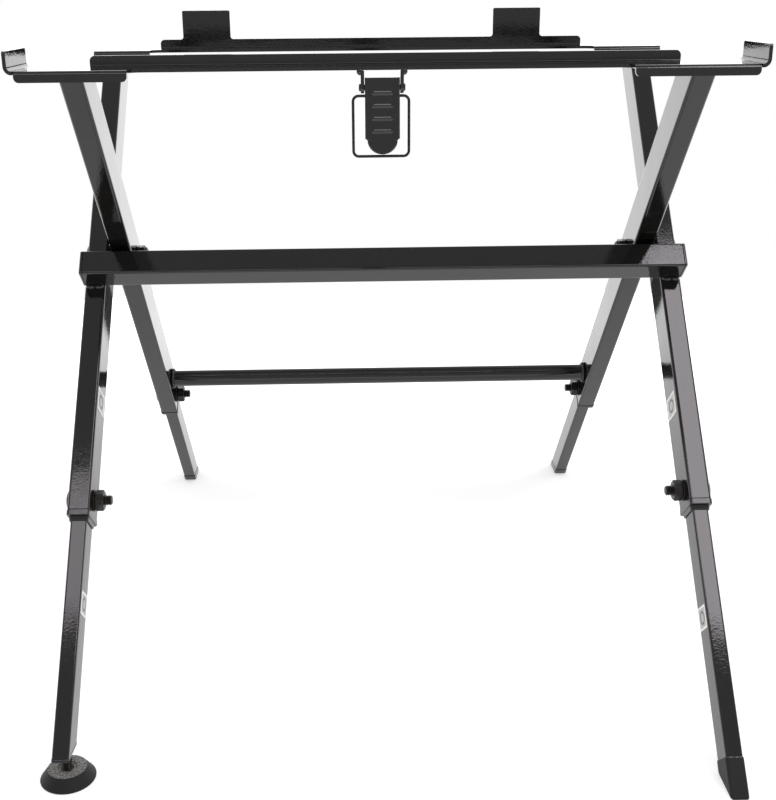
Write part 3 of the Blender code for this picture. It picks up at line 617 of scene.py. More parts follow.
def bent(flat, lip_ends, edge_ends, hook_start):
    """Places of flat points (x, s) once bent. In a bend the turn is the distance past its start over
    its radius, and what lies beyond a quarter turn stands straight."""
    x, s = flat.T
    y = s + SHEET / 2 + BEND
    z = np.zeros_like(x)
    turn = np.minimum(-s / BEND, math.pi / 2)
    front = (s < 0) & (x >= lip_ends[0]) & (x <= lip_ends[1])
    y = np.where(front, SHEET / 2 + BEND * (1 - np.sin(turn)), y)
    z = np.where(front, -BEND * (1 - np.cos(turn)) - np.maximum(-s - BEND_ARC, 0.0), z)
    turn = np.minimum((s - WEB_FLAT) / BEND, math.pi / 2)
    back = (s > WEB_FLAT) & (x >= edge_ends[0]) & (x <= edge_ends[1])
    y = np.where(back, SHEET / 2 + BEND * (1 + np.sin(turn)) + WEB_FLAT, y)
    z = np.where(back, BEND * (1 - np.cos(turn)) + np.maximum(s - WEB_FLAT - BEND_ARC, 0.0), z)
    if hook_start:
        over = np.abs(x) - hook_start
        turn = np.clip(over / HOOK_BEND, 0.0, math.pi / 2)
        rise = HOOK_BEND * (1 - np.cos(turn)) + np.maximum(over - HOOK_BEND * math.pi / 2, 0.0)
        reach = np.sign(x) * (hook_start + HOOK_BEND * np.sin(turn))
        x, z = np.where(over > 0, reach, x), np.where(over > 0, rise, z)
    return np.stack([x, y, z], -1)


def rail(node, outline, lip_ends, edge_ends, hook_start, body):
    """Cuts the blank along its bend lines, bends it, and gives it thickness and broken edges."""
    shape = bmesh.new()
    shape.faces.new([shape.verts.new((x, s, 0.0)) for x, s in outline])
    lines = []
    for step in range(BEND_STEPS + 1):
        turn = BEND_ARC * step / BEND_STEPS
        lines += [((0, -turn, 0), (0, 1, 0)), ((0, WEB_FLAT + turn, 0), (0, 1, 0))]
        if hook_start:
            reach = hook_start + HOOK_BEND * math.pi / 2 * step / BEND_STEPS
            lines += [((reach, 0, 0), (1, 0, 0)), ((-reach, 0, 0), (1, 0, 0))]
    for point, normal in lines:
        everything = shape.verts[:] + shape.edges[:] + shape.faces[:]
        bmesh.ops.bisect_plane(shape, geom=everything, dist=1e-7, plane_co=point, plane_no=normal)
    bmesh.ops.recalc_face_normals(shape, faces=shape.faces)
    mesh = bpy.data.meshes.new(f"{node}_sheet")
    shape.to_mesh(mesh)
    shape.free()
    flat = np.empty(len(mesh.vertices) * 3)
    mesh.vertices.foreach_get("co", flat)
    points = bent(flat.reshape(-1, 3)[:, :2], lip_ends, edge_ends, hook_start)
    points += [0.0, low(node)[1], low(node)[2] + DOWN_LIP - SHEET / 2]
    mesh.vertices.foreach_set("co", points.ravel())
    mesh.update()
    made = add_object(mesh.name, mesh)
    modify(made, "sheet", "SOLIDIFY", thickness=SHEET, offset=0.0, use_even_offset=True)
    modify(made, "broken edges", "BEVEL", width=0.45 * MM, segments=2, limit_method="ANGLE",
           angle_limit=math.radians(50))
    return finish_piece(made, "powder_coat", body, [node], 50.0)


class STAND_OT_rails(bpy.types.Operator):
    """Builds the two pressed seat rails from their flat blanks"""
    bl_idname = "stand.rails"
    bl_label = "Seat rails"

    def execute(self, context):
        margin = 0.5 * MM
        for node, body, lips, ends, height, tabs in (
                ("front_rail", "inner_frame", FRONT_LIPS, FRONT_EDGE, FRONT_EDGE_HEIGHT, ()),
                ("rear_rail", "outer_frame", REAR_LIPS, REAR_EDGE, REAR_EDGE_HEIGHT, TABS)):
            hooked = node == "front_rail"
            left, right = low(node)[0], high(node)[0]
            hook_start = right - SHEET / 2 - HOOK_BEND if hooked else 0.0
            if hooked:
                left, right = -hook_start, hook_start
            outline = blank(left, right, lips, self.back_edge(ends, height, tabs), hooked)
            reach = (left + margin, right - margin) if hooked else (left - margin, right + margin)
            rail(node, outline, reach, (ends[1] - margin, ends[0] + margin), hook_start, body)
        return {"FINISHED"}

    def back_edge(self, ends, height, tabs):
        """The rear lip's edge from right to left, round its ends and any tabs."""
        corner, fillet, tip = 4.5 * MM, 3.0 * MM, 1.5 * MM
        first, last = ends
        level = height + SHEET / 2 - BEND
        tall = TAB_HEIGHT + SHEET / 2 - BEND
        edge = [[(first, 0.0)], arc((first - corner, level - corner), corner, 0, 90, 6)]
        for left, right in tabs:
            edge += [arc((right + fillet, level + fillet), fillet, 270, 180, 5),
                     arc((right - tip, tall - tip), tip, 0, 90, 4),
                     arc((left + tip, tall - tip), tip, 90, 180, 4),
                     arc((left - fillet, level + fillet), fillet, 360, 270, 5)]
        edge += [arc((last + corner, level - corner), corner, 90, 180, 6), [(last, 0.0)]]
        return np.concatenate(edge)


# Bars and welds


def lying_bar(stations, centre):
    """The crossbar's square carried along x at a place in the front legs' frame: station (x, 0, grow)."""
    y, z, x = np.moveaxis(carried(CROSSBAR, stations), -1, 0)
    return from_leg(np.stack([x, y + centre[1], z + centre[2]], -1), "front")


class STAND_OT_bars(bpy.types.Operator):
    """Builds the square crossbar with its end caps, and the round stretcher"""
    bl_idname = "stand.bars"
    bl_label = "Crossbar and stretcher"

    def execute(self, context):
        centre = leg_place(middle("crossbar"), "front")
        reach = high("crossbar")[0]
        grid = lying_bar(tube_stations(-reach, reach, wall=1.5 * MM), centre)
        piece("crossbar_tube", [skin(grid, loop=True)], "powder_coat", "outer_frame", ["crossbar"])
        end = high("crossbar_cap_right")[0]
        rows = stations(reach, 0.0, [(-12, -1.8), (0.2, -1.8), (0.2, -0.3), (0.5, 0)])
        rows += stations(end, 0.0, [(-1.1, 0), (-0.5, -0.3), (-0.1, -1.0), (0, -2.2)])
        for word, side in SIDES:
            grid = lying_bar([(side * x, slope, grow) for x, slope, grow in rows], centre)
            node = f"crossbar_cap_{word}"
            piece(f"{node}_moulding", [skin(grid)], "plastic", "outer_frame", [node])
        self.stretcher(context.scene.stand_sizes.weld_ripple)
        return {"FINISHED"}

    def stretcher(self, ripple):
        """The round bar: a plain circle turned about x, with a rippled bead of weld at each end."""
        reach = high("lower_round_bar")[0]
        centre = middle("lower_round_bar")
        bar = on_x(turned([(BAR_RADIUS, -reach), (BAR_RADIUS, reach)], 64), 1, centre * [0, 1, 1])
        skins = [skin(bar)]
        for _word, side in SIDES:
            turn = full_turn(120)
            seam = BAR_RADIUS + 0.3 * MM
            ring = np.stack([np.full_like(turn, side * (reach - 1.3 * MM)),
                             centre[1] + seam * np.cos(turn), centre[2] + seam * np.sin(turn)], -1)
            size = 2.0 * MM * (1 + ripple * np.sin(turn * 22))
            skins.append(skin(along_path(ring, size, 12, closed=True), loop=True))
        piece("lower_round_bar_tube", skins, "powder_coat", "inner_frame", ["lower_round_bar"], 60.0)


def weld_bead(start, end, radius, ripple):
    """A straight bead of weld: a circle whose radius swells at each ripple and dies out at both ends,
    radius * (1 + ripple * sin) * sqrt(1 - (2 t - 1)^6)."""
    start, end = np.array(start), np.array(end)
    length = np.linalg.norm(end - start)
    steps = max(int(length / (0.35 * MM)), 12)
    t = np.linspace(0.0, 1.0, steps)
    fade = np.sqrt(np.clip(1 - np.abs(2 * t - 1) ** 6, 0.02, 1))
    size = radius * (1 + ripple * np.sin(t * length / (2.1 * MM) * math.tau)) * fade
    wander = 0.25 * MM * np.sin(t * length / (7 * MM) * math.tau)
    path = start + (end - start) * t[:, None] + np.stack([0 * t, wander, wander * 0.5], -1)
    return skin(along_path(path, size, 12))


class STAND_OT_welds(bpy.types.Operator):
    """Builds the weld beads that join the bars and rails to the legs"""
    bl_idname = "stand.welds"
    bl_label = "Weld beads"

    def execute(self, context):
        ripple = context.scene.stand_sizes.weld_ripple
        centre = leg_place(middle("crossbar"), "front")
        face = -LEG[1] / 2 - 1.0 * MM
        for which in FRAMES:
            skins = []
            for word, _side in SIDES:
                leg_x = middle(f"{UPPER_LEG[which]}_{word}")[0]
                reach = LEG[0] / 2 - 1.5 * MM
                if which == "front":
                    for edge, radius in ((-1, 2.8 * MM), (1, 2.0 * MM)):
                        z = centre[2] + edge * (CROSSBAR[0] / 2 + radius - 2.0 * MM)
                        ends = [(leg_x - reach, face, z), (leg_x + reach, face, z)]
                        start, end = from_leg(ends, which)
                        skins.append(weld_bead(start, end, radius, ripple))
                top = high(f"{UPPER_LEG[which]}_{word}")
                bottom = (top[2] - PIVOT[2]) * math.tan(FRAME_TILT[which])
                for edge in (-1, 1):
                    x = leg_x + edge * (LEG[0] / 2 + 0.2 * MM)
                    start, end = ((x, PIVOT[1] - bottom + along, top[2] - 0.6 * MM)
                                  for along in (-20 * MM, 20 * MM))
                    skins.append(weld_bead(start, end, 1.8 * MM, ripple))
            piece(f"{FRAME_BODY[which]}_welds", skins, "powder_coat", FRAME_BODY[which], (), 70.0)
        return {"FINISHED"}


# Fasteners


def thread_rows(low_z, high_z, pitch):
    """A screw thread as a field of radii: r = radius - depth * (1 - w), with w a rounded V of
    z / pitch - turn / 360 degrees. It fades out over the first and last half pitch."""
    z = np.arange(low_z, high_z, pitch / 8)
    turn = full_turn(SCREW_STEPS)
    phase = z[:, None] / pitch - turn / math.tau
    shape = (0.5 - 0.5 * np.cos(phase * math.tau)) ** 0.8
    fade = np.clip(np.minimum(z - low_z, high_z - z) / (0.5 * pitch), 0.0, 1.0)[:, None]
    return spun(SHANK_RADIUS - THREAD_DEPTH * (1 - shape * fade), z, turn)


def bolt_grid(tip, seat, threaded, pitch):
    """A domed bolt along z: chamfered tip, thread, shank, flat head seat and a dome of
    z = seat + 1.4 mm + 3.6 mm * sin a at r = 10 mm * cos a."""
    root = SHANK_RADIUS - THREAD_DEPTH
    start = turned([(1.0 * MM, tip), (root - 0.3 * MM, tip), (root, tip + 0.3 * MM)])
    thread = thread_rows(tip + 0.4 * MM, threaded, pitch)
    rise = np.radians([0, 6, 15, 28, 42, 56, 70, 82])
    dome = np.column_stack([HEAD_RADIUS * np.cos(rise), seat + 1.4 * MM + 3.6 * MM * np.sin(rise)])
    head = [(SHANK_RADIUS, threaded + 0.4 * MM), (SHANK_RADIUS, seat), (HEAD_RADIUS - 0.3 * MM, seat),
            (HEAD_RADIUS, seat + 0.3 * MM)]
    return np.concatenate([start, thread, turned(np.concatenate([head, dome]))])


def nut_grid(crown):
    """A hexagon nut with z on its bore: r = min(flat / cos(turn from the nearest flat), cone), where
    the cone opens by 1.7 per unit of height from each face, which leaves the chamfer's arcs. A crown
    stands on top where the nut locks."""
    steps = 72
    turn = full_turn(steps)
    flat = NUT_FLATS / 2
    chamfer = 1.6 * MM
    hexagon = flat / np.cos(turn % (math.pi / 3) - math.pi / 6)
    z = np.concatenate([np.linspace(0, chamfer, 9), np.linspace(NUT_HEIGHT - chamfer, NUT_HEIGHT, 9)])
    cone = flat * 0.96 + 1.7 * np.minimum(z, NUT_HEIGHT - z)
    body = spun(np.minimum(hexagon[None], cone[:, None]), z, turn)
    top = NUT_HEIGHT + crown
    bore, mouth = SHANK_RADIUS + 0.1 * MM, SHANK_RADIUS + 0.9 * MM
    profile = [(mouth, top), (bore, top - 0.8 * MM), (bore, 0.8 * MM), (mouth, 0.0)]
    if crown:
        wide = flat * 0.86
        profile = [(wide, NUT_HEIGHT), (wide, top - 0.7 * MM), (wide - 0.5 * MM, top - 0.1 * MM),
                   (wide - 1.0 * MM, top)] + profile
    return np.concatenate([body, turned(profile, steps)])


def washer_grid(thickness):
    """A stamped washer: a flat ring whose outer edges are broken by a small round."""
    soft = 0.25 * MM
    bore = SHANK_RADIUS + 0.5 * MM
    return turned([(bore, 0.0), (HEAD_RADIUS - soft, 0.0), (HEAD_RADIUS, soft),
                   (HEAD_RADIUS, thickness - soft), (HEAD_RADIUS - soft, thickness), (bore, thickness)], 64)


class STAND_OT_fasteners(bpy.types.Operator):
    """Builds the clamp bolts, washers and nuts, and the pivot bolts, spacers and locknuts"""
    bl_idname = "stand.fasteners"
    bl_label = "Fasteners"

    def execute(self, context):
        pitch = context.scene.stand_sizes.thread_pitch
        for which in FRAMES:
            body = FRAME_BODY[which]
            for word, side in SIDES:
                leg = middle(f"{UPPER_LEG[which]}_{word}")[0]
                self.bolt(f"clamp_bolt_{which}_{word}", leg, side, pitch, 20 * MM, body)
                seat = side * leg - LEG[0] / 2 - 0.1 * MM
                node = f"clamp_washer_{which}_{word}"
                place = middle(node) * [0, 1, 1] + [side * seat, 0, 0]
                self.ring(node, washer_grid(WASHER) * [1, 1, -1], side, place, "zinc", body)
                nut = f"clamp_nut_{which}_{word}"
                self.nut(nut, side, side * (seat - WASHER - 0.1 * MM), 0.0, nut)
        for word, side in SIDES:
            leg = middle(f"outer_leg_{word}")[0]
            self.bolt(f"pivot_bolt_{word}", leg, side, pitch, 12 * MM, "outer_frame")
            inner = middle(f"inner_leg_{word}")[0] - side * (LEG[0] / 2 + 0.1 * MM)
            self.nut(f"pivot_nut_{word}", side, inner, 2.0 * MM, "outer_frame")
            node = f"pivot_spacer_{word}"
            thickness = high(node)[0] - low(node)[0]
            place = middle(node) - [side * thickness / 2, 0, 0]
            self.ring(node, washer_grid(thickness), side, place, "plastic", "outer_frame")
        return {"FINISHED"}

    def ring(self, node, grid, side, place, finish, body):
        """A washer or spacer laid on its bolt."""
        piece(f"{node}_ring", [skin(on_x(grid, side, place), loop=True)], finish, body, [node])

    def bolt(self, node, leg, side, pitch, threaded, body):
        """A bolt with its head on the leg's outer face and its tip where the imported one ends."""
        tip = -abs((low(node) if side > 0 else high(node))[0] - leg)
        grid = bolt_grid(tip, LEG[0] / 2 + 0.1 * MM, tip + threaded, pitch)
        place = np.array([leg, *middle(node)[1:]])
        piece(f"{node}_screw", [skin(on_x(grid, side, place))], "zinc", body, [node], 40.0)

    def nut(self, node, side, seat, crown, body):
        """A nut whose seat faces outwards, away from the middle of the stand."""
        grid = on_x(nut_grid(crown), -side, np.array([seat, *middle(node)[1:]]))
        piece(f"{node}_hexagon", [skin(grid, loop=True)], "zinc", body, [node], 30.0)


# Feet


class STAND_OT_feet(bpy.types.Operator):
    """Builds the foot tips, the slanted end plug, and the levelling stud with its pad"""
    bl_idname = "stand.feet"
    bl_label = "Feet"

    def execute(self, context):
        for which, word, finish in (("front", "right", "rubber"), ("rear", "left", "plastic"),
                                    ("rear", "right", "plastic")):
            self.tip(which, word, finish)
        self.plug()
        self.levelling_foot(context.scene.stand_sizes.thread_pitch)
        return {"FINISHED"}

    def tip(self, which, word, finish):
        """A solid tip: a plug in the tube, a shoulder and a foot cut flat on the floor. It is kept in
        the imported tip's box, so its rounds don't stand past the stand's ends."""
        node = f"foot_tip_{which}_{word}"
        tilt = FRAME_TILT[which]
        level = -math.tan(tilt)
        floor = -PIVOT[2] / math.cos(tilt)
        joint, slope = FRONT_TIP_JOINT, 0.0
        if which == "rear":
            joint, slope = floor + REAR_TIP_HEIGHT / math.cos(tilt), level
        rows = stations(joint, slope, [(16, -1.5), (0, -1.5), (0, 0.1), (-0.5, 0.55), (-1.4, 0.7)])
        rows += stations(floor, level, [(2.2, 0.7), (0.9, 0.45), (0.25, 0), (0, -0.8)])
        grid = from_leg(carried(EXTENSION, rows) + [middle(node)[0], 0, 0], which)
        grid = np.clip(grid, low(node), high(node))
        piece(f"{node}_moulding", [skin(grid)], finish, f"lower_leg_{which}_{word}", [node])

    def plug(self):
        """The plug in the front left tube's slanted end, with a boss round the levelling stud."""
        node = "foot_plug_front_left"
        rows = stations(PLUG_JOINT, PLUG_SLOPE, [(14, -1.5), (0, -1.5), (0, 0), (-0.4, 0.25), (-2.2, 0.2),
                                                 (-3.0, -0.4), (-3.2, -1.4)])
        grid = from_leg(carried(EXTENSION, rows) + [middle(node)[0], 0, 0], "front")
        piece(f"{node}_moulding", [skin(grid)], "plastic", "lower_leg_front_left", [node])

    def levelling_foot(self, pitch):
        """The upright threaded stud and the round rubber pad it turns in."""
        stud, pad = "levelling_stud", "levelling_pad"
        bottom, top = low(stud)[2], high(stud)[2]
        root = SHANK_RADIUS - THREAD_DEPTH
        thread = thread_rows(bottom + 0.2 * MM, top - 0.5 * MM, pitch)
        crest = [(root, top - 0.4 * MM), (SHANK_RADIUS - 1.3 * MM, top), (1 * MM, top)]
        grid = np.concatenate([turned([(1 * MM, bottom), (root, bottom)]), thread, turned(crest)])
        piece(f"{stud}_screw", [skin(grid + middle(stud) * [1, 1, 0])], "zinc", stud, [stud], 40.0)
        tall = high(pad)[2]
        rim = arc((PAD_RADIUS - 1.4 * MM, 1.4 * MM), 1.4 * MM, -90, 60, 8)
        shoulder = arc((PAD_TOP_RADIUS - 1.2 * MM, tall - 1.2 * MM), 1.2 * MM, 40, 90, 5)
        cup = np.array([(8.2, 0), (7.6, -0.5), (6.4, -0.8), (5.4, -0.9), (5.2, -1.6)]) * MM + [0.0, tall]
        well = [(5.2 * MM, 3.0 * MM), (1 * MM, 2.9 * MM)]
        grid = turned(np.concatenate([[(1 * MM, 0.0)], rim, shoulder, cup, well]), 96)
        piece(f"{pad}_moulding", [skin(grid + middle(pad) * [1, 1, 0])], "rubber", pad, [pad])


# Latch


def lever_grid():
    """The thumb lever's outer face: a channel carried down its length. A profile point runs up one
    side wall, across the face and down the other; the walls' depth and the face's half width are
    functions of height, and each of four ribs adds cos^2 of the height over its half width, faded to
    nothing at both ends."""
    top, bottom = high("latch_lever")[2], low("latch_lever")[2]
    wall_end = top - WALL_END
    half = (high("latch_lever")[0] - low("latch_lever")[0]) / 2
    tongue = half - 2.0 * MM
    z = np.concatenate([np.linspace(top, wall_end + 1.2 * MM, 150),
                        np.linspace(wall_end + 1.0 * MM, wall_end, 8),
                        wall_end - (wall_end - bottom) * np.sin(np.linspace(0.02, math.pi / 2, 26))])
    below = np.clip((wall_end - z) / (wall_end - bottom), 0.0, 1.0)
    settle = np.clip((wall_end + 1.2 * MM - z) / (1.4 * MM), 0.0, 1.0)
    width = half - (half - tongue) * settle
    width = np.where(z < wall_end, tongue * np.sqrt(np.clip(1 - below ** 2, 0.0, 1.0)) + 0.05 * MM, width)
    shoulder = np.clip((z - wall_end) / (14 * MM), 0.0, 1.0)
    crest = np.clip((top - z) / (4 * MM), 0.0, 1.0)
    depth = np.where(z > wall_end, (4.2 + 6.6 * shoulder) * MM * (0.55 + 0.45 * np.sqrt(crest)), 0.5 * MM)
    s = np.linspace(-1, 1, 61)
    across = np.clip(s / 0.6, -1, 1)
    back = np.clip((np.abs(s) - 0.6) / 0.4, 0, 1)
    corner = 1.6 * MM
    x = across[None] * width[:, None]
    y = back[None] * depth[:, None]
    near = np.clip((width[:, None] - np.abs(x)) / corner, 0, 1)
    fall = corner * (1 - np.sqrt(np.clip(1 - (1 - near) ** 2, 0, 1)))
    y = y + np.minimum(fall, np.maximum(depth[:, None], 0.3 * MM))
    rib = np.zeros_like(x)
    for index in range(4):
        level = RIB_HEIGHT - RIB_PITCH * index
        bump = np.cos(np.clip((z - level) / (2.1 * MM), -1, 1) * math.pi / 2) ** 2
        side = np.clip((8.8 * MM - np.abs(x)) / (1.5 * MM), 0, 1)
        rib += bump[:, None] * (side * side * (3 - 2 * side))
    y = y - 0.8 * MM * rib
    front = low("latch_lever")[1] + 0.8 * MM
    return np.stack([x + middle("latch_lever")[0], front + y, np.broadcast_to(z[:, None], x.shape)], -1)


class STAND_OT_latch(bpy.types.Operator):
    """Builds the draw latch: ears, pin, thumb lever and wire bail"""
    bl_idname = "stand.latch"
    bl_label = "Draw latch"

    def execute(self, context):
        pin = middle("latch_pin")
        for word, side in SIDES:
            node = f"latch_ear_{word}"
            inner = high(node)[0] if side < 0 else low(node)[0]
            self.ear(node, side, inner, pin, context.scene.stand_sizes.weld_ripple)
        reach = (high("latch_pin")[0] - low("latch_pin")[0]) / 2
        head = [(1.0, -1.0), (2.4, -0.9), (3.0, -0.4), (3.0, 0.9), (2.4, 1.0)]
        profile = [(r * MM, z * MM - reach + 1 * MM) for r, z in head]
        profile += [(r, -z) for r, z in profile[::-1]]
        piece("latch_pin_rivet", [skin(on_x(turned(profile, 40), 1, pin))], "zinc", "inner_frame",
              ["latch_pin"])
        self.lever()
        self.bail()
        return {"FINISHED"}

    def ear(self, node, side, inner, pin, ripple):
        """A plate whose lower end is a half circle about the pin, welded under the seat."""
        top = high(node)[2]
        outline = np.concatenate([[(-EAR_RADIUS, top - pin[2])], arc((0, 0), EAR_RADIUS, 180, 360, 24),
                                  [(EAR_RADIUS, top - pin[2])]])
        rows = []
        for x, shrink in ((0.0, 0.3), (0.3, 0.0), (2.7, 0.0), (3.0, 0.3)):
            scaled = outline * (1 - shrink * MM / EAR_RADIUS)
            scaled[[0, -1], 1] = top - pin[2]
            rows.append(np.column_stack([np.full(len(scaled), inner + side * x * MM), pin[1] + scaled[:, 0],
                                         pin[2] + scaled[:, 1]]))
        outer = inner + side * 3.4 * MM
        ends = [(outer, pin[1] + along, top - 1.0 * MM) for along in (-EAR_RADIUS, EAR_RADIUS)]
        bead = weld_bead(*ends, 2.4 * MM, ripple)
        piece(f"{node}_plate", [skin(np.stack(rows)), bead], "powder_coat", "inner_frame", [node])

    def lever(self):
        """The thumb lever, given its sheet's thickness behind its outer face."""
        grid = lever_grid()
        faces = grid_faces(grid.shape[:2], False, False)[:, ::-1].tolist()
        made = piece("latch_lever_pressing", [(grid.reshape(-1, 3), faces)], "powder_coat",
                     "latch_lever", ["latch_lever"], 50.0)
        modify(made, "sheet", "SOLIDIFY", thickness=1.6 * MM, offset=-1.0)

    def bail(self):
        """The wire bail: a circle carried round a rectangle with bent corners."""
        bottom, top = low("latch_bail"), high("latch_bail")
        wire = (top[1] - bottom[1]) / 2
        corner = 4.5 * MM
        left, right = bottom[0] + wire, top[0] - wire
        floor, roof = bottom[2] + wire, top[2] - wire
        corners = (((right - corner, roof - corner), 0), ((left + corner, roof - corner), 90),
                   ((left + corner, floor + corner), 180), ((right - corner, floor + corner), 270))
        route = np.concatenate([arc(centre, corner, start, start + 90, 10) for centre, start in corners])
        path = np.column_stack([route[:, 0], np.full(len(route), middle("latch_bail")[1]), route[:, 1]])
        piece("latch_bail_wire", [skin(along_path(path, wire, 20, closed=True), loop=True)], "zinc",
              "latch_bail", ["latch_bail"], 60.0)


# Stickers


class STAND_OT_stickers(bpy.types.Operator):
    """Builds the blank stickers on the front legs' inner faces"""
    bl_idname = "stand.stickers"
    bl_label = "Blank stickers"

    def execute(self, context):
        for level, across, along in (("upper", 22 * MM, 28 * MM), ("lower", 21 * MM, 22 * MM)):
            for word, side in SIDES:
                node = f"{level}_label_{word}"
                body = "outer_frame" if level == "upper" else f"lower_leg_front_{word}"
                centre = leg_place(middle(node), "front")
                rows = stations(0.0, 0.0, [(0.16, 0), (0, 0), (-0.06, -0.2)])
                z, y, x = np.moveaxis(carried((across, along, 1.2 * MM), rows), -1, 0)
                grid = np.stack([side * (abs(centre[0]) + x), centre[1] + y, centre[2] + z], -1)
                made = piece(f"{node}_sticker", [skin(from_leg(grid, "front"))], "sticker", body, [node])
                self.map_print(made.data, np.stack([2 * z / across, 2 * y / along], -1).reshape(-1, 2))
        return {"FINISHED"}

    def map_print(self, mesh, places):
        """Gives each face corner the map place of its point."""
        corners = np.empty(len(mesh.loops), int)
        mesh.loops.foreach_get("vertex_index", corners)
        mesh.uv_layers.new(name="print").data.foreach_set("uv", places[corners].ravel())


# Stage


# The studio, in metres: the floor's radius, the softboxes' height, and each softbox's word, near left
# and far right corner and share of the brightness
FLOOR_RADIUS = 1.5
SOFTBOX_HEIGHT = 2.0
SOFTBOXES = (("right", (0.66, -1.66), (1.35, -0.52), 1.0), ("front", (-1.25, -1.57), (0.66, -1.12), 0.62))

# The camera: place in metres, yaw, pitch and roll in radians, lens in millimetres, and shift
CAMERA_PLACE = Vector((-0.03842, -1.18174, 0.63725))
CAMERA_TURN = (0.02046, 0.33648, -0.00925)
CAMERA_LENS = 54.70
CAMERA_SHIFT = (0.0233, 0.00595)


class STAND_OT_stage(bpy.types.Operator):
    """Builds the floor, the studio light and the camera"""
    bl_idname = "stand.stage"
    bl_label = "Studio"

    def execute(self, context):
        studio = context.scene.stand_studio
        self.floor(studio)
        self.world(context.scene, studio)
        self.softboxes(studio)
        self.camera(context.scene)
        context.scene.view_settings.view_transform = "Standard"
        context.scene.view_settings.look = "None"
        return {"FINISHED"}

    def stage_object(self, name, points, faces, finish):
        """An object of the studio, which isn't part of the stand."""
        mesh = bpy.data.meshes.new(name)
        mesh.from_pydata(points, [], faces)
        mesh.materials.append(finish)
        made = add_object(name, mesh)
        return made

    def floor(self, studio):
        """A pale disc that glows more further out, until the white studio takes over at its edge."""
        flat, faces = skin(turned([(FLOOR_RADIUS, -0.02), (FLOOR_RADIUS, 0.0)], 96))
        finish, tree, shader, place = new_finish("lit white acrylic floor", "#e6e6e6", 0.9)
        shader.inputs["Emission Color"].default_value = (1.0, 1.0, 1.0, 1.0)
        away = add_node(tree, "ShaderNodeVectorMath", {"operation": "LENGTH"}, {0: place}).outputs["Value"]
        glow = ranged(tree, away, 0.3, 1.2, studio.floor_glow, 3 * studio.floor_glow, smooth=True)
        tree.links.new(glow, shader.inputs["Emission Strength"])
        self.stage_object("studio_floor", flat.tolist(), faces, finish)

    def world(self, scene, studio):
        """A white studio: bright behind the stand, softer on the side it is seen from."""
        scene.world = bpy.data.worlds.new("white studio")
        scene.world.use_nodes = True
        tree = scene.world.node_tree
        direction = add_node(tree, "ShaderNodeTexCoord").outputs["Generated"]
        parts = add_node(tree, "ShaderNodeSeparateXYZ", {}, {"Vector": direction}).outputs
        level = ranged(tree, parts["Y"], -0.3, 0.6, studio.front_light, studio.back_light, smooth=True)
        height = ranged(tree, parts["Z"], 0.2, 0.75, smooth=True)
        seen = add_node(tree, "ShaderNodeLightPath").outputs["Is Camera Ray"]
        for share, brightness in ((height, studio.ceiling), (seen, 1.0)):
            level = add_node(tree, "ShaderNodeMix", {"data_type": "FLOAT", "B": brightness},
                             {"Factor": share, "A": level}).outputs["Result"]
        background = tree.nodes["Background"].inputs
        background["Color"].default_value = (1.0, 1.0, 1.0, 1.0)
        tree.links.new(level, background["Strength"])

    def softboxes(self, studio):
        """Two white panels overhead facing down, a strong one to the right and a weaker one in front."""
        for word, near, far, share in SOFTBOXES:
            corners = (near, (near[0], far[1]), far, (far[0], near[1]))
            points = [(x, y, SOFTBOX_HEIGHT) for x, y in corners]
            finish = bpy.data.materials.new(f"{word} softbox diffuser")
            finish.use_nodes = True
            tree = finish.node_tree
            glow = add_node(tree, "ShaderNodeEmission", {"Strength": share * studio.softbox,
                                                         "Color": linear("#fff9ff")})
            tree.links.new(glow.outputs["Emission"], tree.nodes["Material Output"].inputs["Surface"])
            made = self.stage_object(f"{word}_softbox", points, [(0, 1, 2, 3)], finish)
            made.visible_camera = False

    def camera(self, scene):
        """The camera: a little above the seat, in front, looking down at the crossbar."""
        yaw, pitch, roll = CAMERA_TURN
        ahead = Vector((math.sin(yaw) * math.cos(pitch), math.cos(yaw) * math.cos(pitch), -math.sin(pitch)))
        right = ahead.cross(Vector((0, 0, 1))).normalized()
        up = right.cross(ahead)
        rolled_right = right * math.cos(roll) + up * math.sin(roll)
        rolled_up = up * math.cos(roll) - right * math.sin(roll)
        data = bpy.data.cameras.new("camera")
        data.sensor_fit = "HORIZONTAL"
        data.sensor_width = 36.0
        data.lens = CAMERA_LENS
        data.shift_x, data.shift_y = CAMERA_SHIFT
        data.clip_start = 0.01
        scene.camera = add_object("camera", data)
        matrix = Matrix((rolled_right, rolled_up, -ahead)).transposed().to_4x4()
        matrix.translation = CAMERA_PLACE
        scene.camera.matrix_world = matrix


# Add-on


def width(name, description, default):
    """A small size as a property."""
    return FloatProperty(name=name, description=description, default=default, min=0.5 * MM,
                         subtype="DISTANCE", unit="LENGTH", precision=5)


def brightness(name, description, default):
    """A light's brightness as a property."""
    return FloatProperty(name=name, description=description, default=default, min=0.0)


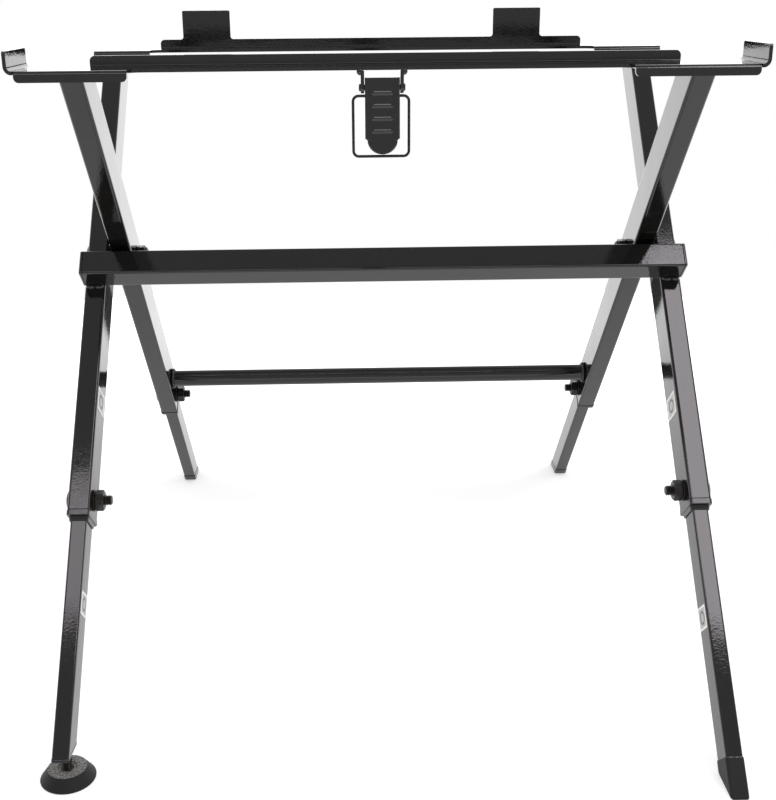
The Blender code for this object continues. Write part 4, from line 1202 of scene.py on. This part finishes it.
class StandSizes(bpy.types.PropertyGroup):
    """Small sizes that only the finished pieces show"""
    thread_pitch: width("Thread pitch", "Distance between the threads of the M10 screws", 1.5 * MM)
    weld_ripple: FloatProperty(
        name="Weld ripple", description="How far a weld bead swells at each ripple, as a share of its size",
        default=0.16, min=0.0, max=0.5, subtype="FACTOR")
    orange_peel: width("Orange peel", "Width of one cell of the powder coat's texture", 1.8 * MM)


class StandStudio(bpy.types.PropertyGroup):
    """The studio's light"""
    front_light: brightness("Front light", "Brightness of the studio on the side of the front rail", 0.68)
    back_light: brightness("Back light", "Brightness of the studio behind the rear rail", 2.0)
    floor_glow: brightness("Floor glow", "Brightness of the lit floor's own light under the stand", 0.42)
    ceiling: brightness("Ceiling", "Brightness of the studio's ceiling around the softboxes", 0.55)
    softbox: brightness("Softbox", "Brightness of the right panel above the stand", 6.6)


PIECE_OPERATORS = (STAND_OT_leg_tubes, STAND_OT_extension_tubes, STAND_OT_rails, STAND_OT_bars,
                   STAND_OT_welds, STAND_OT_fasteners, STAND_OT_feet, STAND_OT_latch,
                   STAND_OT_stickers, STAND_OT_stage)


class STAND_PT_panel(bpy.types.Panel):
    """Lists the stand's operators and settings"""
    bl_label = "Folding tool stand"
    bl_idname = "STAND_PT_panel"
    bl_space_type = "VIEW_3D"
    bl_region_type = "UI"
    bl_category = "Stand"

    def draw(self, context):
        for group in (context.scene.stand_sizes, context.scene.stand_studio):
            for name in group.bl_rna.properties.keys():
                if name not in ("rna_type", "name"):
                    self.layout.prop(group, name)
        for operator in PIECE_OPERATORS:
            self.layout.operator(operator.bl_idname)


CLASSES = (StandSizes, StandStudio, *PIECE_OPERATORS, STAND_PT_panel)


def register():
    for item in CLASSES:
        bpy.utils.register_class(item)
    bpy.types.Scene.stand_sizes = PointerProperty(type=StandSizes)
    bpy.types.Scene.stand_studio = PointerProperty(type=StandStudio)


def unregister():
    del bpy.types.Scene.stand_studio
    del bpy.types.Scene.stand_sizes
    for item in reversed(CLASSES):
        bpy.utils.unregister_class(item)


def main():
    register()
    for make in (powder_coat, zinc, plastic, rubber, sticker):
        FINISHES[make.__name__] = make()
    for operator in PIECE_OPERATORS:
        group, name = operator.bl_idname.split(".")
        getattr(getattr(bpy.ops, group), name)()


if __name__ == "__main__":
    main()
